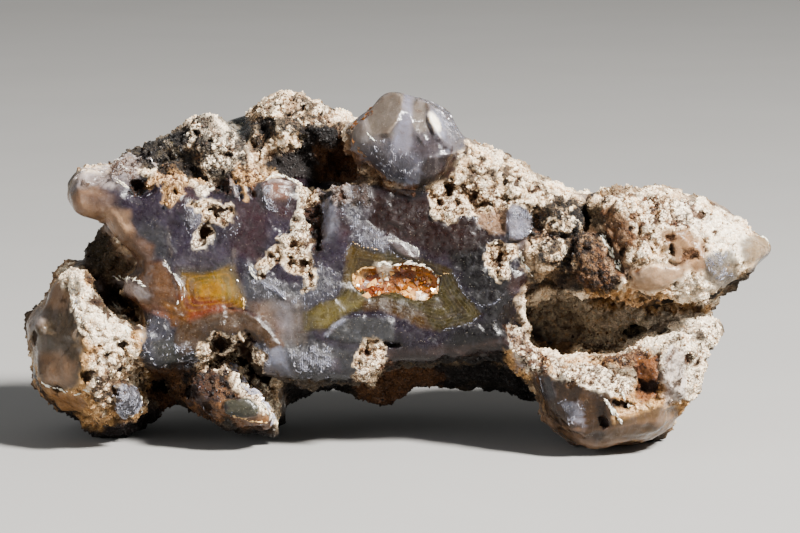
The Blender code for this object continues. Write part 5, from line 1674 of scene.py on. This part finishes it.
def splinters(name, middles, runs, normals, widths, lengths, tints, chance):
    """Joins many thin six-cornered splinters, each lying along its run, into one mesh."""
    runs = runs - (runs * normals).sum(axis=1)[:, None] * normals
    runs /= np.linalg.norm(runs, axis=1)[:, None]
    aside = np.cross(normals, runs)
    aside /= np.linalg.norm(aside, axis=1)[:, None] + 1e-9
    ends = runs * lengths[:, None] / 2
    sides = aside * widths[:, None] / 2
    tops = normals * widths[:, None] * chance.uniform(*SPLINTER_HEIGHTS, (len(middles), 1))
    tilt = chance.uniform(*SPLINTER_TILTS, (len(middles), 1)) * tops
    corners = np.stack([ends + tilt, -ends - tilt, sides, -sides, tops, -tops * 0.8], axis=1)
    corners += middles[:, None, :]
    return joined(name, corners * MM, np.repeat(np.clip(tints, 0, PALEST_SPLINTER), 6, axis=0))


def make_ridges(skin):
    """The thin ridges, as broken rows of splinters."""
    chance = np.random.default_rng(21)
    tree = front_tree(skin)
    rows = []
    for line, colour, width, density in RIDGES:
        tint = surface_colour(COLOURS[colour])
        for (u0, v0), (u1, v1) in zip(line, line[1:]):
            count = max(1, round(math.hypot(u1 - u0, v1 - v0) * PIXEL * density))
            for step in chance.random(count):
                stray = chance.normal(0, width / PIXEL * RIDGE_STRAY, 2)
                across = u0 + (u1 - u0) * step + stray[0]
                down = v0 + (v1 - v0) * step + stray[1]
                nearest = tree.find((across, down, 0))[1]
                rows.append((nearest, (u1 - u0, 0.0, v0 - v1), width, tint))
    numbers, runs, widths, tints = (np.array(column) for column in zip(*rows))
    runs += chance.normal(0, RIDGE_TURN, runs.shape) * np.linalg.norm(runs, axis=1)[:, None]
    widths *= chance.uniform(*RIDGE_WIDTHS, len(rows))
    lengths = widths * chance.uniform(*RIDGE_LENGTHS, len(rows))
    tints *= chance.uniform(*RIDGE_LIGHT, (len(rows), 1))
    return splinters("thin_ridges", skin.points[numbers], runs, skin.normals[numbers], widths,
                     lengths, tints, chance)


def make_frost(skin):
    """Fine splinters where the chalcedony is broken and frosty."""
    chance = np.random.default_rng(22)
    clumped = patchy(skin.points, FROST_CLUMPS)
    odds = np.clip(skin.frost, 0, 1) ** 1.5 * skin.in_sight * clumped * (1 - skin.crumb)
    numbers = chance.choice(len(odds), FROST_COUNT, p=odds / odds.sum())
    runs = np.column_stack([chance.normal(0, spread, FROST_COUNT) for spread in FROST_RUNS])
    widths = chance.uniform(*FROST_WIDTHS, FROST_COUNT)
    lengths = widths * chance.uniform(*FROST_LENGTHS, FROST_COUNT)
    tints = surface_colour(COLOURS["frost"]) * chance.uniform(*FROST_LIGHT, (FROST_COUNT, 1))
    return splinters("frost_splinters", skin.points[numbers], runs, skin.normals[numbers], widths,
                     lengths, tints, chance)


def dress(piece, material, name):
    """Finishes a piece: its material, its name, and the body that it belongs to."""
    piece.data.materials.clear()
    piece.data.materials.append(material)
    piece.name = name
    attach(piece, "root")


def around(middle, azimuth, elevation, distance):
    """A place at that distance from the middle; azimuth 0 is in front and 90 to the right."""
    a, e = math.radians(azimuth), math.radians(elevation)
    away = Vector((math.sin(a) * math.cos(e), -math.cos(a) * math.cos(e), math.sin(e)))
    return Vector(middle) + away * distance


def aimed(name, data, place, aim):
    """A lamp or camera at a place, turned towards its aim."""
    piece = new_piece(name, data)
    piece.location = place
    piece.rotation_euler = (Vector(aim) - Vector(place)).to_track_quat("-Z", "Y").to_euler()
    return piece


def floor_material():
    w = Wiring("pale_floor")
    tone = w.grey(w.rise(w.noise("floor"), 0.3, 0.7, 0.97, 1.0))
    return w.surface({"Base Color": w.tone(1.0, FLOOR_COLOUR, tone), "Roughness": 0.9})


def make_studio():
    """A pale floor, one large soft light from the upper right front and a weaker one opposite."""
    bpy.ops.mesh.primitive_circle_add(vertices=96, radius=FLOOR_RADIUS, fill_type="NGON")
    floor = bpy.context.object
    floor.name = "floor"
    floor.data.materials.append(floor_material())
    for name, (where, size, power, colour) in LIGHTS.items():
        light = bpy.data.lights.new(name, "AREA")
        light.size = size
        light.energy = power
        light.color = colour
        aimed(name, light, around(LIGHT_AIM, *where), LIGHT_AIM)
    world = bpy.data.worlds.new("studio")
    world.use_nodes = True
    sky = world.node_tree.nodes["Background"]
    sky.inputs["Color"].default_value = SKY_COLOUR
    sky.inputs["Strength"].default_value = SKY_STRENGTH
    bpy.context.scene.world = world


def make_camera():
    """The photograph's view of the stone."""
    camera = bpy.data.cameras.new("camera")
    camera.lens = CAMERA_LENS
    camera.sensor_width = CAMERA_SENSOR
    aim = Vector(CAMERA_AIM) * MM
    place = around(aim, 0, math.degrees(VIEW_ANGLE), EYE_DISTANCE * MM)
    bpy.context.scene.camera = aimed("camera", camera, place, aim)


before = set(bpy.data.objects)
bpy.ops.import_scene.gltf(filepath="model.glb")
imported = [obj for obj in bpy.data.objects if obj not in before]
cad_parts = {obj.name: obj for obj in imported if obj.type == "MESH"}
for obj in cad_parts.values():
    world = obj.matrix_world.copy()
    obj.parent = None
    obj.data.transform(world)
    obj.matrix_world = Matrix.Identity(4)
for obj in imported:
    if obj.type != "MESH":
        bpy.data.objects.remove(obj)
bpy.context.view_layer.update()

make_camera()
make_studio()

stone = make_skin(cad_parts[NODE])
skin = Skin(stone.data)
skin.look()
lay_ground(skin)
lay_clear_ends(skin)
lay_coats(skin, GROUND_COATS)
lay_coats(skin, LUMP_COATS)
lay_slab(skin)
lay_islands(skin)
lay_coats(skin, KNOB_COATS)
lay_frost(skin)
lay_lines(skin)
lay_speckles(skin)
sculpt(skin)
write_points(stone.data, skin.points)
skin.read_normals(stone.data)
lay_holes(skin)
stain_and_highlight(skin)

fields = {name: getattr(skin, name) for name in ("crumb", "hollow", "frost", "glow", "shaded_gaps", "lace")}
fields.update(ring_fields(skin))
thin_out(stone, skin)
source = carried_over(stone, skin)
give_attribute(stone.data, "tint", np.clip(skin.tint[source], DARKEST_TINT, PALEST))
for name, values in fields.items():
    give_attribute(stone.data, name, values[source])
stone.data.shade_smooth()
dress(stone, stone_material(), "moss_agate_stone")
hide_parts(NODE)

grains = grain_material()
crumbly = ease(skin.crumb[source], 0.45, 0.8) * (1 - 0.8 * skin.hollow[source])
seen = skin.in_sight[source]
# Some grains are painted dark where the crust has gaps, partly as painted shade.
dark = SHADED_GRAIN_SHARE * skin.shaded_gaps[source] ** 1.5
for name, kind in GRAIN_PIECES.items():
    share = seen if name.endswith("front") else 1 - seen
    dress(strew(name, stone, crumbly * share, dark=dark, **kind), grains, name)

crystals = crystal_material()
in_vug = np.zeros(len(skin.points))
chosen, share = skin.in_outline(VUG, 3.0)
in_vug[chosen] = share
dress(strew("vug_crystals", stone, in_vug[source], **VUG_CRYSTALS), crystals, "vug_crystals")
dress(make_ridges(skin), crystals, "thin_ridges")
dress(make_frost(skin), crystals, "frost_splinters")
